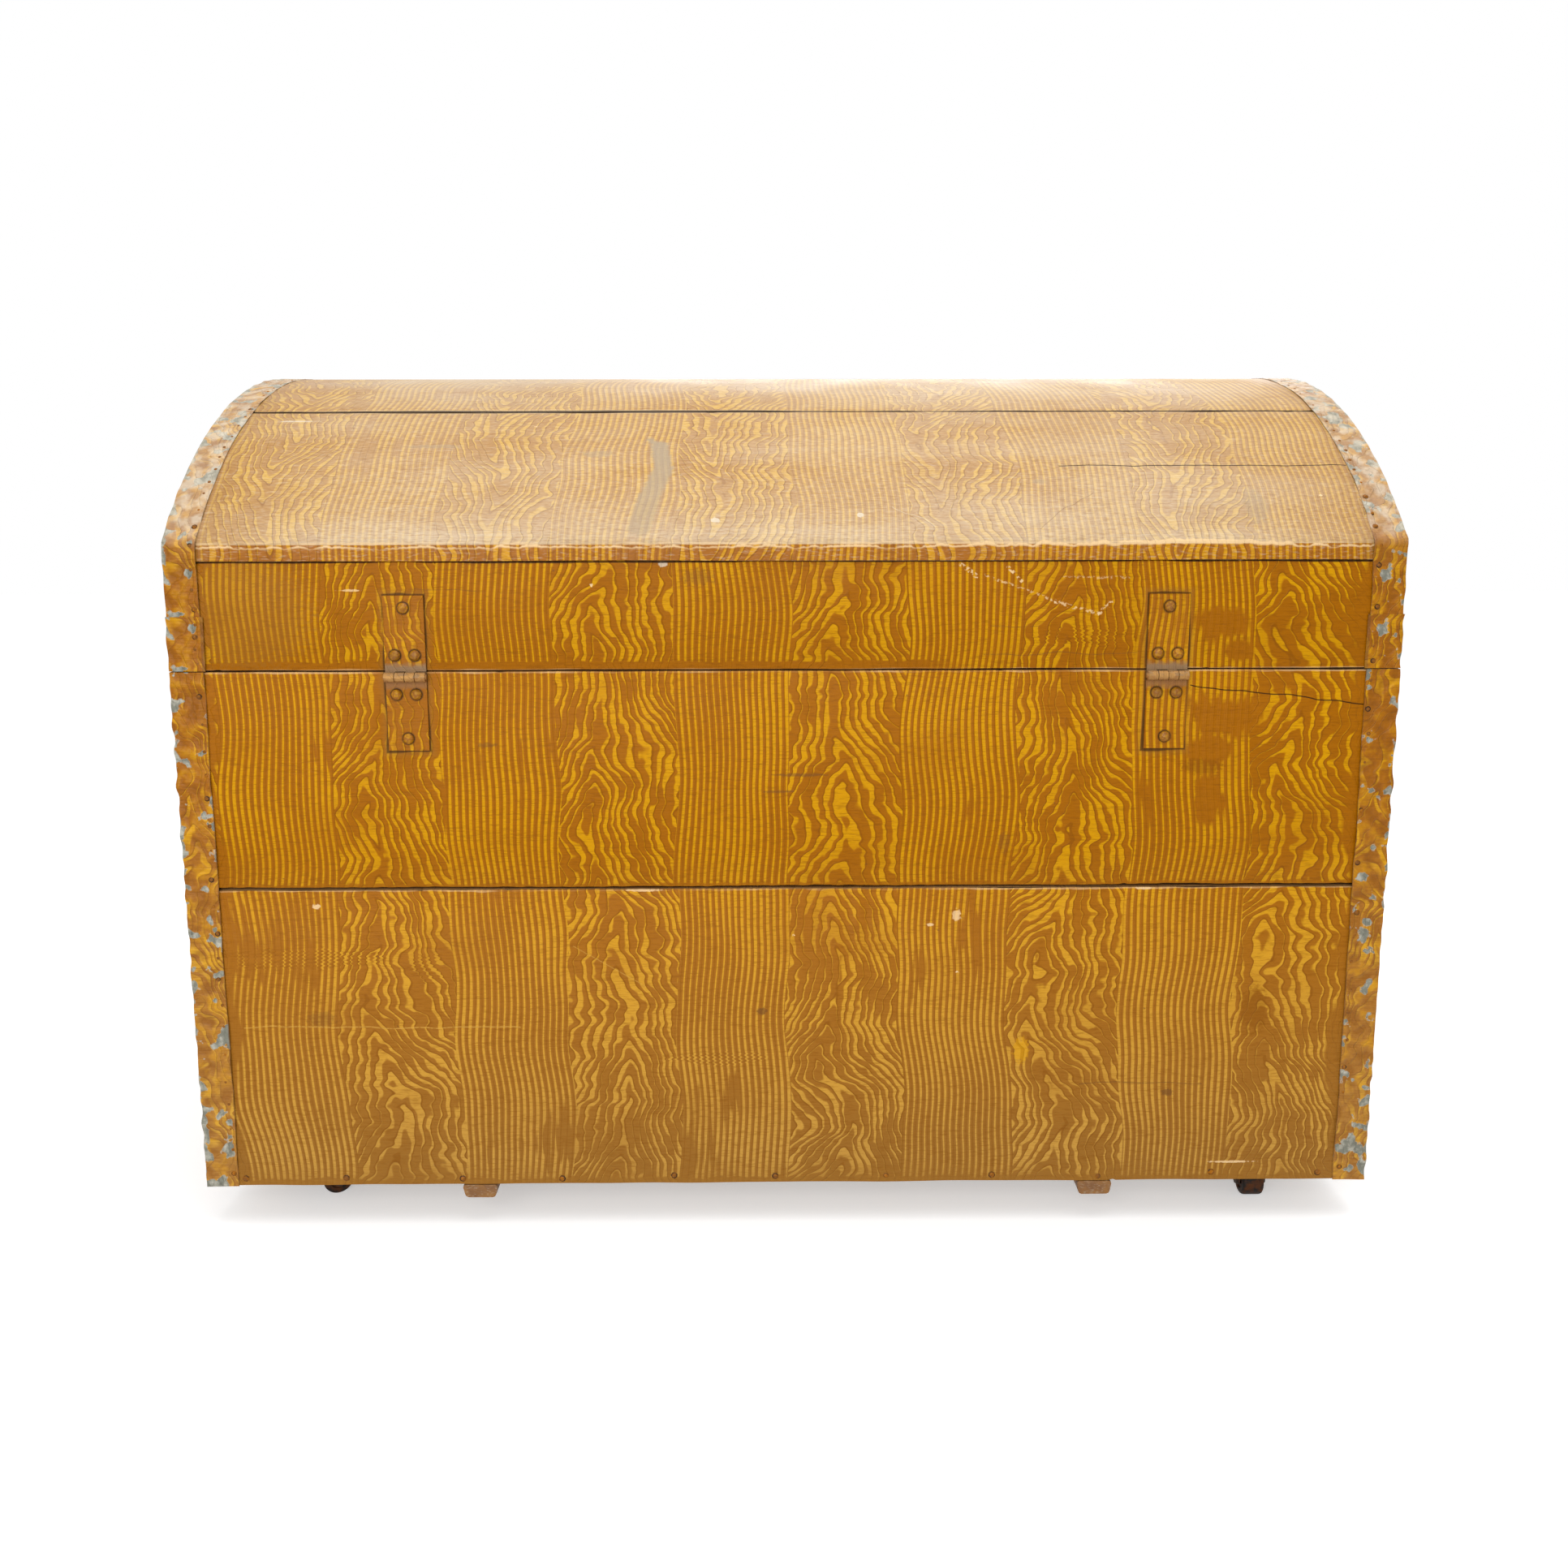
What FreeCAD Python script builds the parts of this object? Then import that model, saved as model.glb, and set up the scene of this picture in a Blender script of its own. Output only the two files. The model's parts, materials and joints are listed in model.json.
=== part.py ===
"""Dome top trunk: a pine board trunk with a bent-board dome lid, sheet-metal edge strips, strap hinges,
a chest lock, iron bail handles and four small castors.

Millimetres, +Z up. The origin is on the floor under the middle of the trunk. The front is at -Y and
the back, with the hinges, at +Y; left and right are as seen from the front.
"""
import FreeCAD, Part
import math
import os
from collections import namedtuple
from types import SimpleNamespace

import Sketcher

# Driving sizes: millimetres, and degrees where the name says turn
SIZES = {
    # the box of boards
    "trunk_width": 1000,
    "trunk_depth": 650,
    "body_height": 448,
    "wall": 18,
    "lower_board_height": 265,
    "board_joint_gap": 0.8,
    "bottom_thickness": 15,
    # the lid
    "lid_seam_gap": 0.8,
    "lid_side_height": 104,
    "dome_rise": 148,
    "dome_thickness": 10,
    "dome_joint_gap": 0.8,
    # battens under the bottom
    "batten_spacing": 532,
    "batten_top_width": 31,
    "batten_bottom_width": 27,
    "batten_height": 12.5,
    "batten_corner": 4,
    # sheet-metal strips
    "sheet": 0.6,
    "strip_width": 27.5,
    "dome_tab_length": 59,
    "snip_width": 4,
    "snip_margin": 4,
    "snip_spacing": 62,
    # strap hinges
    "hinge_spacing": 619,
    "hinge_width": 33,
    "hinge_leaf": 1.6,
    "hinge_barrel": 8,
    "hinge_pin": 4.6,
    "hinge_axis_drop": 4,
    "hinge_axis_out": 4.25,
    "hinge_pin_overhang": 0.8,
    "lid_leaf_reach": 66,
    "body_leaf_reach": 61,
    "lid_near_rivet": 17.5,
    "lid_far_rivet": 56,
    "body_near_rivet": 14.5,
    "body_far_rivet": 51,
    "rivet_spacing": 16,
    "rivet_shank": 4.5,
    "rivet_head": 9.5,
    "rivet_head_height": 3.6,
    "rivet_burr": 9,
    "rivet_burr_height": 1.2,
    # running fits
    "fit_clearance": 0.05,
    "side_clearance": 0.3,
    # chest lock
    "lock_left": 46,
    "lock_right": 54,
    "lock_height": 70,
    "lock_depth": 16,
    "lock_plate": 1.5,
    "bolt_travel": 10,
    "bolt_thickness": 5,
    "bolt_standoff": 4,
    "bolt_height": 16,
    "bolt_drop": 10.5,
    "bolt_left": 34,
    "bolt_shoulder": 24,
    "bolt_tip": 33,
    "bolt_tip_height": 5,
    "bolt_notch_width": 9,
    "bolt_notch_height": 4,
    "stump_diameter": 5,
    "stump_shoulder": 9,
    "stump_left": 16,
    "stump_right": 14,
    "keeper_lug_start": 36,
    "keeper_lug": 4,
    "keeper_lug_depth": 12,
    "keeper_lug_reach": 17,
    "keeper_eye": 7.8,
    "keeper_plate": 2,
    "keeper_width": 44,
    "keeper_height": 30,
    "keeper_slot_clearance": 1.2,
    # keyhole
    "keyhole_drop": 34,
    "keyhole_diameter": 9,
    "keyhole_slot": 5,
    "keyhole_length": 17,
    "keyhole_wood_clearance": 1.5,
    "escutcheon_width": 28,
    "escutcheon_height": 50,
    "escutcheon_thickness": 1.2,
    # bail handles
    "handle_height": 350,
    "handle_out": 12,
    "handle_rod": 8,
    "handle_bend": 8,
    "handle_drop": 52,
    "handle_end": 4,
    "eye_spacing": 130,
    "eye_thickness": 5,
    "eye_radius": 8,
    "eye_plate": 2,
    "eye_plate_width": 28,
    "eye_plate_height": 54,
    # castors
    "castor_height": 36,
    "castor_from_end": 83,
    "castor_from_back": 54,
    "castor_trail": 10,
    "castor_plate_size": 46,
    "castor_plate": 2,
    "castor_plate_corner": 7,
    "king_pin": 6,
    "king_pin_head": 11,
    "king_pin_head_height": 1.8,
    "swivel_gap": 0.3,
    "fork_disc": 30,
    "fork_thickness": 2,
    "fork_boss": 5,
    "wheel_diameter": 27,
    "wheel_width": 19,
    "wheel_bevel": 3,
    "axle": 4.6,
    "axle_head": 8,
    "axle_head_height": 1.4,
    # how far each castor is turned, 0 trailing towards +X
    "turn_front_left": 250,
    "turn_front_right": 285,
    "turn_back_left": 90,
    "turn_back_right": 210,
}
# Where the three joints between the four dome boards lie, as shares of the half angle from the crest
DOME_JOINT_SHARES = (-1, -0.5, 0, 0.5, 1)
# The bottom is three boards of equal depth
BOTTOM_BOARD_SHARES = (0, 1 / 3, 2 / 3, 1)
# The hinge barrel is four knuckles: the lid has the 1st and 3rd counted from the right end
KNUCKLE_SHARES = (0, 0.25, 0.5, 0.75, 1)
SIDES = (("left", -1), ("right", 1))
ENDS = (("front", -1), ("back", 1))


class Amount:
    """A number together with the sheet formula that gives it, so that one sum serves both."""

    def __init__(self, formula, value):
        self.formula = formula
        self.value = value

    def __add__(self, other):
        other = amount(other)
        return Amount(f"({self.formula} + {other.formula})", self.value + other.value)

    def __sub__(self, other):
        other = amount(other)
        return Amount(f"({self.formula} - {other.formula})", self.value - other.value)

    def __rsub__(self, other):
        return amount(other) - self

    def __mul__(self, other):
        other = amount(other)
        return Amount(f"({self.formula} * {other.formula})", self.value * other.value)

    def __truediv__(self, other):
        other = amount(other)
        return Amount(f"({self.formula} / {other.formula})", self.value / other.value)

    def __neg__(self):
        return Amount(f"(0 - {self.formula})", -self.value)

    __radd__ = __add__
    __rmul__ = __mul__


def amount(thing):
    return thing if isinstance(thing, Amount) else Amount(repr(thing), thing)


def root(thing):
    return Amount(f"sqrt({thing.formula})", math.sqrt(thing.value))


def sine(thing):
    return Amount(f"sin({thing.formula})", math.sin(math.radians(thing.value)))


def cosine(thing):
    return Amount(f"cos({thing.formula})", math.cos(math.radians(thing.value)))


def arcsine(thing):
    return Amount(f"(asin({thing.formula}) / 1 deg)", math.degrees(math.asin(thing.value)))


ZERO = Amount("0", 0.0)
Arc = namedtuple("Arc", "u v turn")
Circle = namedtuple("Circle", "u v radius")

doc = FreeCAD.newDocument("DomeTopTrunk")
sheet = doc.addObject("Spreadsheet::Sheet", "Sizes")
for row, (alias, number) in enumerate(SIZES.items(), start=1):
    sheet.set(f"A{row}", alias)
    sheet.set(f"B{row}", str(number))
    sheet.setAlias(f"B{row}", alias)
doc.recompute()
size = SimpleNamespace(**{alias: Amount(f"Sizes.{alias}", number) for alias, number in SIZES.items()})

# Levels and faces that several pieces share
half_width = size.trunk_width / 2
half_depth = size.trunk_depth / 2
inner_width = half_width - size.wall
inner_depth = half_depth - size.wall
board_bottom = size.castor_height
board_joint = board_bottom + size.lower_board_height
body_top = board_bottom + size.body_height
lid_bottom = body_top + size.lid_seam_gap
lid_edge = body_top + size.lid_side_height

# The dome is an arc over the trunk's depth, through both lid edges and the crest
dome_radius = (half_depth * half_depth + size.dome_rise * size.dome_rise) / (2 * size.dome_rise)
dome_under = dome_radius - size.dome_thickness
dome_centre = lid_edge + size.dome_rise - dome_radius
dome_half_angle = arcsine(half_depth / dome_radius)

sub_parts = []


def over(radius, across):
    """Height above the dome's centre of the arc of this radius, at this distance from the crest."""
    return root(radius * radius - across * across)


def origin_feature(body, role):
    return next(f for f in body.Origin.OriginFeatures if f.Role == role)


def new_body(name, spot=None, turn=None, kept=True):
    """A body called name; spot is its place in the trunk and turn its angle about +Z."""
    body = doc.addObject("PartDesign::Body", name)
    body.Label = name
    for letter, place in zip("xyz", spot or ()):
        body.setExpression(f"Placement.Base.{letter}", place.formula)
    if turn is not None:
        body.Placement = FreeCAD.Placement(FreeCAD.Vector(), FreeCAD.Vector(0, 0, 1), turn.value)
        body.setExpression("Placement.Rotation.Angle", turn.formula)
    if kept:
        sub_parts.append(body)
    return body


def new_group(name, pieces):
    group = doc.addObject("Part::Compound", name)
    group.Label = name
    group.Links = pieces
    sub_parts.append(group)
    return group


def tie(sketch, kind, index, position, place):
    """Hold one coordinate of a sketch point at place."""
    if place.value == 0:
        axis = -2 if kind == "DistanceX" else -1
        sketch.addConstraint(Sketcher.Constraint("PointOnObject", index, position, axis))
        return
    constraint = Sketcher.Constraint(kind, -1, 1, index, position, place.value)
    number = sketch.addConstraint(constraint)
    sketch.setExpression(f"Constraints[{number}]", place.formula)


def add_circle(sketch, circle):
    centre = FreeCAD.Vector(circle.u.value, circle.v.value, 0)
    shape = Part.Circle(centre, FreeCAD.Vector(0, 0, 1), circle.radius.value)
    index = sketch.addGeometry(shape, False)
    tie(sketch, "DistanceX", index, 3, circle.u)
    tie(sketch, "DistanceY", index, 3, circle.v)
    number = sketch.addConstraint(Sketcher.Constraint("Radius", index, circle.radius.value))
    sketch.setExpression(f"Constraints[{number}]", circle.radius.formula)


def add_arc(sketch, start, finish, arc):
    """An arc from start to finish about its centre; turn is 1 anticlockwise and -1 clockwise."""
    centre = FreeCAD.Vector(arc.u.value, arc.v.value, 0)
    circle = Part.Circle(centre, FreeCAD.Vector(0, 0, 1), (start - centre).Length)
    low, high = [math.atan2(p.y - centre.y, p.x - centre.x) for p in (start, finish)][:: arc.turn]
    if high <= low:
        high += math.tau
    index = sketch.addGeometry(Part.ArcOfCircle(circle, low, high), False)
    chord = finish - start
    if abs(chord.y) > abs(chord.x):
        tie(sketch, "DistanceX", index, 3, arc.u)
    else:
        tie(sketch, "DistanceY", index, 3, arc.v)
    return (index, 1, 2) if arc.turn > 0 else (index, 2, 1)


def add_line(sketch, start, finish):
    return sketch.addGeometry(Part.LineSegment(start, finish), False), 1, 2


def add_run(sketch, corners, closed=True):
    """Lines and arcs from corner to corner; a corner with an Arc starts that arc."""
    points = [FreeCAD.Vector(c[0].value, c[1].value, 0) for c in corners]
    count = len(corners) if closed else len(corners) - 1
    edges = []
    for i in range(count):
        start, finish = points[i], points[(i + 1) % len(corners)]
        if len(corners[i]) > 2:
            edges.append(add_arc(sketch, start, finish, corners[i][2]))
        else:
            edges.append(add_line(sketch, start, finish))
    for i, (index, _, end) in enumerate(edges):
        if closed or i + 1 < count:
            after, begin, _ = edges[(i + 1) % count]
            sketch.addConstraint(Sketcher.Constraint("Coincident", index, end, after, begin))
    ends = [(index, begin) for index, begin, _ in edges]
    if not closed:
        ends.append((edges[-1][0], edges[-1][2]))
    for (index, position), corner in zip(ends, corners):
        tie(sketch, "DistanceX", index, position, corner[0])
        tie(sketch, "DistanceY", index, position, corner[1])


def draw(body, name, plane, outlines, at=ZERO, closed=True):
    """A sketch on one of the body's own planes, moved to at along the axis square to the plane."""
    sketch = body.newObject("Sketcher::SketchObject", name)
    sketch.AttachmentSupport = [(origin_feature(body, plane), "")]
    sketch.MapMode = "FlatFace"
    offset = -at if plane == "XZ_Plane" else at
    sketch.setExpression("AttachmentOffset.Base.z", offset.formula)
    for outline in outlines:
        if isinstance(outline, Circle):
            add_circle(sketch, outline)
        else:
            add_run(sketch, outline, closed)
    return sketch


def pad(body, name, plane, outlines, low, high):
    """Fill the outlines from low to high along the axis square to the plane."""
    feature = body.newObject("PartDesign::Pad", name)
    feature.Profile = draw(body, f"{name}Outline", plane, outlines, low)
    feature.setExpression("Length", (high - low).formula)
    feature.Reversed = plane == "XZ_Plane"
    doc.recompute()
    return feature


def pocket(body, name, plane, outlines, low, high):
    """Cut the outlines away from low to high along the axis square to the plane."""
    feature = body.newObject("PartDesign::Pocket", name)
    feature.Profile = draw(body, f"{name}Outline", plane, outlines, low)
    feature.setExpression("Length", (high - low).formula)
    feature.Reversed = plane != "XZ_Plane"
    doc.recompute()
    return feature


def revolve(body, name, plane, outline, axis):
    feature = body.newObject("PartDesign::Revolution", name)
    feature.Profile = draw(body, f"{name}Outline", plane, [outline])
    feature.ReferenceAxis = (origin_feature(body, axis), [""])
    feature.Angle = 360
    doc.recompute()
    return feature


def fillet(body, name, base, chosen, radius):
    """Round the edges of base that chosen accepts."""
    edges = [f"Edge{i}" for i, edge in enumerate(base.Shape.Edges, start=1) if chosen(edge)]
    feature = body.newObject("PartDesign::Fillet", name)
    feature.Base = (base, edges)
    feature.setExpression("Radius", radius.formula)
    doc.recompute()
    return feature


def upright(edge):
    """Whether a straight edge runs along Z."""
    direction = edge.tangentAt(edge.FirstParameter)
    return edge.Curve.TypeId == "Part::GeomLine" and abs(direction.z) > 0.99


def box_outline(low_u, high_u, low_v, high_v):
    return [(low_u, low_v), (high_u, low_v), (high_u, high_v), (low_u, high_v)]


def slot_outline(low_u, high_u, v, radius):
    """A slot along u whose round ends are centred on low_u and high_u."""
    return [
        (low_u, v - radius),
        (high_u, v - radius, Arc(high_u, v, 1)),
        (high_u, v + radius),
        (low_u, v + radius, Arc(low_u, v, 1)),
    ]


def keyhole_outline(z, clearance):
    """A round hole with a slot below it, centred on the trunk's middle."""
    radius = size.keyhole_diameter / 2 + clearance
    slot = size.keyhole_slot / 2 + clearance
    shoulder = z - root(radius * radius - slot * slot)
    tip = z - size.keyhole_length - clearance
    return [(slot, tip), (slot, shoulder, Arc(ZERO, z, 1)), (-slot, shoulder), (-slot, tip)]


# Rivets hold each hinge leaf: two beside the barrel and one near the leaf's end
def rivet_spots(side, near, far):
    middle = side * size.hinge_spacing / 2
    spread = size.rivet_spacing / 2
    return [(middle - spread, near), (middle + spread, near), (middle, far)]


hinge_axis_y = half_depth + size.hinge_axis_out
hinge_axis_z = body_top - size.hinge_axis_drop
lid_rivets = []
body_rivets = []
for _, sign in SIDES:
    lid_rivets += rivet_spots(sign, hinge_axis_z + size.lid_near_rivet, hinge_axis_z + size.lid_far_rivet)
    body_rivets += rivet_spots(sign, hinge_axis_z - size.body_near_rivet, hinge_axis_z - size.body_far_rivet)


def drill_rivets(body, spots, thickness_low, thickness_high):
    radius = size.rivet_shank / 2 + size.fit_clearance
    holes = [Circle(x, z, radius) for x, z in spots]
    return pocket(body, "RivetHoles", "XZ_Plane", holes, thickness_low, thickness_high)


keyhole_z = body_top - size.keyhole_drop


# Front and back: two boards each, the full width of the trunk, lapping over the end boards
def make_long_walls():
    for end, sign in ENDS:
        low = inner_depth if sign > 0 else -half_depth
        high = half_depth if sign > 0 else -inner_depth
        lower = new_body(f"{end}_board_lower")
        outline = box_outline(low, high, board_bottom, board_joint - size.board_joint_gap / 2)
        pad(lower, "Board", "YZ_Plane", [outline], -half_width, half_width)
        upper = new_body(f"{end}_board_upper")
        outline = box_outline(low, high, board_joint + size.board_joint_gap / 2, body_top)
        pad(upper, "Board", "YZ_Plane", [outline], -half_width, half_width)
        if sign > 0:
            drill_rivets(upper, body_rivets, low, high)
        else:
            hole = keyhole_outline(keyhole_z, size.keyhole_wood_clearance)
            pocket(upper, "Keyhole", "XZ_Plane", [hole], low, high)


# Ends: two boards each, between the front and the back
def make_end_walls():
    for side, sign in SIDES:
        low = inner_width if sign > 0 else -half_width
        high = half_width if sign > 0 else -inner_width
        lower = new_body(f"{side}_end_board_lower")
        outline = box_outline(-inner_depth, inner_depth, board_bottom, board_joint - size.board_joint_gap / 2)
        pad(lower, "Board", "YZ_Plane", [outline], low, high)
        upper = new_body(f"{side}_end_board_upper")
        outline = box_outline(-inner_depth, inner_depth, board_joint + size.board_joint_gap / 2, body_top)
        pad(upper, "Board", "YZ_Plane", [outline], low, high)


# Bottom: three boards inside the walls, flush with their lower edge, nailed through the walls
def make_bottom():
    names = ("bottom_board_front", "bottom_board_middle", "bottom_board_rear")
    for name, low_share, high_share in zip(names, BOTTOM_BOARD_SHARES, BOTTOM_BOARD_SHARES[1:]):
        gap_low = size.board_joint_gap / 2 if low_share > 0 else ZERO
        gap_high = size.board_joint_gap / 2 if high_share < 1 else ZERO
        low = low_share * 2 * inner_depth - inner_depth + gap_low
        high = high_share * 2 * inner_depth - inner_depth - gap_high
        outline = box_outline(low, high, board_bottom, board_bottom + size.bottom_thickness)
        pad(new_body(name), "Board", "YZ_Plane", [outline], -inner_width, inner_width)


# Battens: across the bottom boards from front to back, sides tapered and lower corners rounded
def make_battens():
    for side, sign in SIDES:
        middle = sign * size.batten_spacing / 2
        top = size.batten_top_width / 2
        foot = size.batten_bottom_width / 2
        flat = foot - size.batten_corner
        underside = board_bottom - size.batten_height
        corner_z = underside + size.batten_corner
        outline = [
            (middle + top, board_bottom),
            (middle - top, board_bottom),
            (middle - foot, corner_z, Arc(middle - flat, corner_z, 1)),
            (middle - flat, underside),
            (middle + flat, underside, Arc(middle + flat, corner_z, 1)),
            (middle + foot, corner_z),
        ]
        pad(new_body(f"batten_{side}"), "Batten", "XZ_Plane", [outline], -half_depth, half_depth)


def corner_outline(sign_x, sign_y):
    """The L of a sheet strip folded over a vertical corner of the trunk."""
    x, y = sign_x * half_width, sign_y * half_depth
    out_x, out_y = x + sign_x * size.sheet, y + sign_y * size.sheet
    in_x, in_y = x - sign_x * size.strip_width, y - sign_y * size.strip_width
    return [(out_x, out_y), (out_x, in_y), (x, in_y), (x, y), (in_x, y), (in_x, out_y)]


# Sheet strips folded over the four corners of the body, and of the lid up to the dome strips' tabs
def make_corner_strips():
    lid_strips = []
    tab_end = lid_edge - size.dome_tab_length
    for end, sign_y in ENDS:
        for side, sign_x in SIDES:
            outline = corner_outline(sign_x, sign_y)
            strip = new_body(f"corner_strip_{end}_{side}")
            pad(strip, "Strip", "XY_Plane", [outline], board_bottom, body_top)
            lid_strip = new_body(f"lid_strip_{end}_{side}", kept=False)
            pad(lid_strip, "Strip", "XY_Plane", [outline], lid_bottom, tab_end)
            lid_strips.append(lid_strip)
    new_group("lid_corner_strips", lid_strips)


# Front and back rails of the lid: the top edge is bevelled to the curve under the dome boards
def make_lid_rails():
    for end, sign in ENDS:
        outer, inner = sign * half_depth, sign * inner_depth
        outline = [
            (outer, lid_bottom),
            (outer, dome_centre + over(dome_under, half_depth), Arc(ZERO, dome_centre, sign)),
            (inner, dome_centre + over(dome_under, inner_depth)),
            (inner, lid_bottom),
        ]
        rail = new_body(f"lid_{end}_rail")
        pad(rail, "Rail", "YZ_Plane", [outline], -half_width, half_width)
        if sign > 0:
            drill_rivets(rail, lid_rivets, inner_depth, half_depth)


# Ends of the lid: one board each, its top sawn to the curve under the dome boards
def make_lid_ends():
    shoulder = dome_centre + over(dome_under, inner_depth)
    outline = [
        (-inner_depth, lid_bottom),
        (inner_depth, lid_bottom),
        (inner_depth, shoulder, Arc(ZERO, dome_centre, 1)),
        (-inner_depth, shoulder),
    ]
    for side, sign in SIDES:
        low = inner_width if sign > 0 else -half_width
        high = half_width if sign > 0 else -inner_width
        pad(new_body(f"lid_end_{side}"), "End", "YZ_Plane", [outline], low, high)


def on_dome(radius, angle):
    """The point of a dome arc at this angle from the crest, positive towards the back."""
    return radius * sine(angle), radius * cosine(angle)


# Dome boards: bent to the arc, radial joints; the outer two are sawn flush with front and back
def make_dome_boards():
    half_gap = size.dome_joint_gap / dome_radius * (90 / math.pi)
    spot = (ZERO, ZERO, dome_centre)
    for number, low_share, high_share in zip(range(1, 5), DOME_JOINT_SHARES, DOME_JOINT_SHARES[1:]):
        if low_share > -1:
            low_outer = on_dome(dome_radius, low_share * dome_half_angle + half_gap)
            low_under = on_dome(dome_under, low_share * dome_half_angle + half_gap)
        else:
            low_outer = (-half_depth, over(dome_radius, half_depth))
            low_under = (-half_depth, over(dome_under, half_depth))
        if high_share < 1:
            high_outer = on_dome(dome_radius, high_share * dome_half_angle - half_gap)
            high_under = on_dome(dome_under, high_share * dome_half_angle - half_gap)
        else:
            high_outer = (half_depth, over(dome_radius, half_depth))
            high_under = (half_depth, over(dome_under, half_depth))
        outline = [
            (*high_outer, Arc(ZERO, ZERO, 1)),
            low_outer,
            (*low_under, Arc(ZERO, ZERO, -1)),
            high_under,
        ]
        board = new_body(f"dome_board_{number}", spot)
        pad(board, "Board", "YZ_Plane", [outline], -half_width, half_width)


def arch(radius, across, foot):
    """The corners of an arch from its front foot over the dome to its back foot."""
    top = over(radius, across)
    return [(across, foot), (across, top, Arc(ZERO, ZERO, 1)), (-across, top), (-across, foot)]


# Dome strips: sheet folded over the ends of the dome boards. One flange lies on the dome and runs down
# the front and back as tabs; the other lies on the lid end and is snipped so that it follows the curve.
def make_dome_strips():
    foot = lid_edge - size.dome_tab_length - dome_centre
    outer = arch(dome_radius + size.sheet, half_depth + size.sheet, foot)
    wrapped = arch(dome_radius, half_depth, foot)
    inner = arch(dome_radius - size.strip_width, half_depth - size.strip_width, foot)
    for side, sign in SIDES:
        strip = new_body(f"dome_strip_{side}", (ZERO, ZERO, dome_centre))
        face = sign * half_width
        folded = face + sign * size.sheet
        edge = face - sign * size.strip_width
        low, high = (face, folded) if sign > 0 else (folded, face)
        pad(strip, "EndFlange", "YZ_Plane", [frame_outline(outer, inner)], low, high)
        low, high = (edge, folded) if sign > 0 else (folded, edge)
        pad(strip, "DomeFlange", "YZ_Plane", [frame_outline(outer, wrapped)], low, high)
        snip_end_flange(strip, face, folded)


def frame_outline(outer, inner):
    """The band between two arches that stand on the same foot."""
    (u0, v0), (u1, v1, arc), (u2, v2), (u3, v3) = inner
    back = Arc(arc.u, arc.v, -arc.turn)
    return list(outer) + [(u3, v3), (u2, v2, back), (u1, v1), (u0, v0)]


def snip_end_flange(strip, face, folded):
    """V-shaped snips in the end flange, repeated round the dome's centre."""
    count = int(2 * math.radians(dome_half_angle.value) * dome_radius.value / size.snip_spacing.value)
    spread = (size.snip_spacing / dome_radius) * (180 / math.pi) * (count - 1)
    start = spread / 2
    opening = size.snip_width / (dome_radius - size.strip_width) * (90 / math.pi)
    mouth_radius = dome_radius - size.strip_width - size.snip_margin
    tip_radius = dome_radius - size.snip_margin
    snip = [
        on_dome(tip_radius, start),
        on_dome(mouth_radius, start - opening),
        on_dome(mouth_radius, start + opening),
    ]
    low, high = (face, folded) if face.value > 0 else (folded, face)
    first = pocket(strip, "Snip", "YZ_Plane", [snip], low, high)
    pattern = strip.newObject("PartDesign::PolarPattern", "Snips")
    pattern.Originals = [first]
    pattern.Axis = (origin_feature(strip, "X_Axis"), [""])
    pattern.setExpression("Angle", spread.formula)
    pattern.Occurrences = count
    strip.Tip = pattern
    doc.recompute()


# Strap hinges: the leaves lie on the back, and their ends are rolled into knuckles round the pin
def make_hinges():
    radius = size.hinge_barrel / 2
    face = half_depth
    skin = face + size.hinge_leaf
    to_skin = hinge_axis_y - skin
    rise = root(radius * radius - to_skin * to_skin)
    wood_side = hinge_axis_y - radius
    bore = Circle(hinge_axis_y, hinge_axis_z, size.hinge_pin / 2 + size.fit_clearance)
    lid_end = hinge_axis_z + size.lid_leaf_reach
    lid_profile = [
        (face, lid_end),
        (face, lid_bottom),
        (wood_side, body_top),
        (wood_side, hinge_axis_z, Arc(hinge_axis_y, hinge_axis_z, 1)),
        (skin, hinge_axis_z + rise),
        (skin, lid_end),
    ]
    body_end = hinge_axis_z - size.body_leaf_reach
    body_profile = [
        (skin, body_end),
        (skin, hinge_axis_z - rise, Arc(hinge_axis_y, hinge_axis_z, 1)),
        (wood_side, hinge_axis_z),
        (face, hinge_axis_z),
        (face, body_end),
    ]
    for side, sign in SIDES:
        middle = sign * size.hinge_spacing / 2
        low, high = middle - size.hinge_width / 2, middle + size.hinge_width / 2
        lid_leaf = new_body(f"hinge_lid_leaf_{side}")
        pad(lid_leaf, "Leaf", "YZ_Plane", [lid_profile, bore], low, high)
        cut_knuckles(lid_leaf, low, (0, 2))
        drill_rivets(lid_leaf, lid_rivets[:3] if sign < 0 else lid_rivets[3:], face, skin)
        body_leaf = new_body(f"hinge_body_leaf_{side}")
        pad(body_leaf, "Leaf", "YZ_Plane", [body_profile, bore], low, high)
        cut_knuckles(body_leaf, low, (1, 3))
        drill_rivets(body_leaf, body_rivets[:3] if sign < 0 else body_rivets[3:], face, skin)
        pin = new_body(f"hinge_pin_{side}")
        rod = Circle(hinge_axis_y, hinge_axis_z, size.hinge_pin / 2)
        pad(pin, "Pin", "YZ_Plane", [rod], low - size.hinge_pin_overhang, high + size.hinge_pin_overhang)


def cut_knuckles(leaf, low, places):
    """Clear the other leaf's knuckles, and the side clearance beside each of them."""
    reach = size.hinge_barrel / 2 + size.side_clearance
    for number in places:
        start = low + KNUCKLE_SHARES[number] * size.hinge_width
        finish = low + KNUCKLE_SHARES[number + 1] * size.hinge_width
        if number > 0:
            start = start - size.side_clearance
        if number < 3:
            finish = finish + size.side_clearance
        outline = box_outline(half_depth, hinge_axis_y + reach, hinge_axis_z - reach, hinge_axis_z + reach)
        pocket(leaf, "KnuckleGap", "YZ_Plane", [outline], start, finish)


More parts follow.
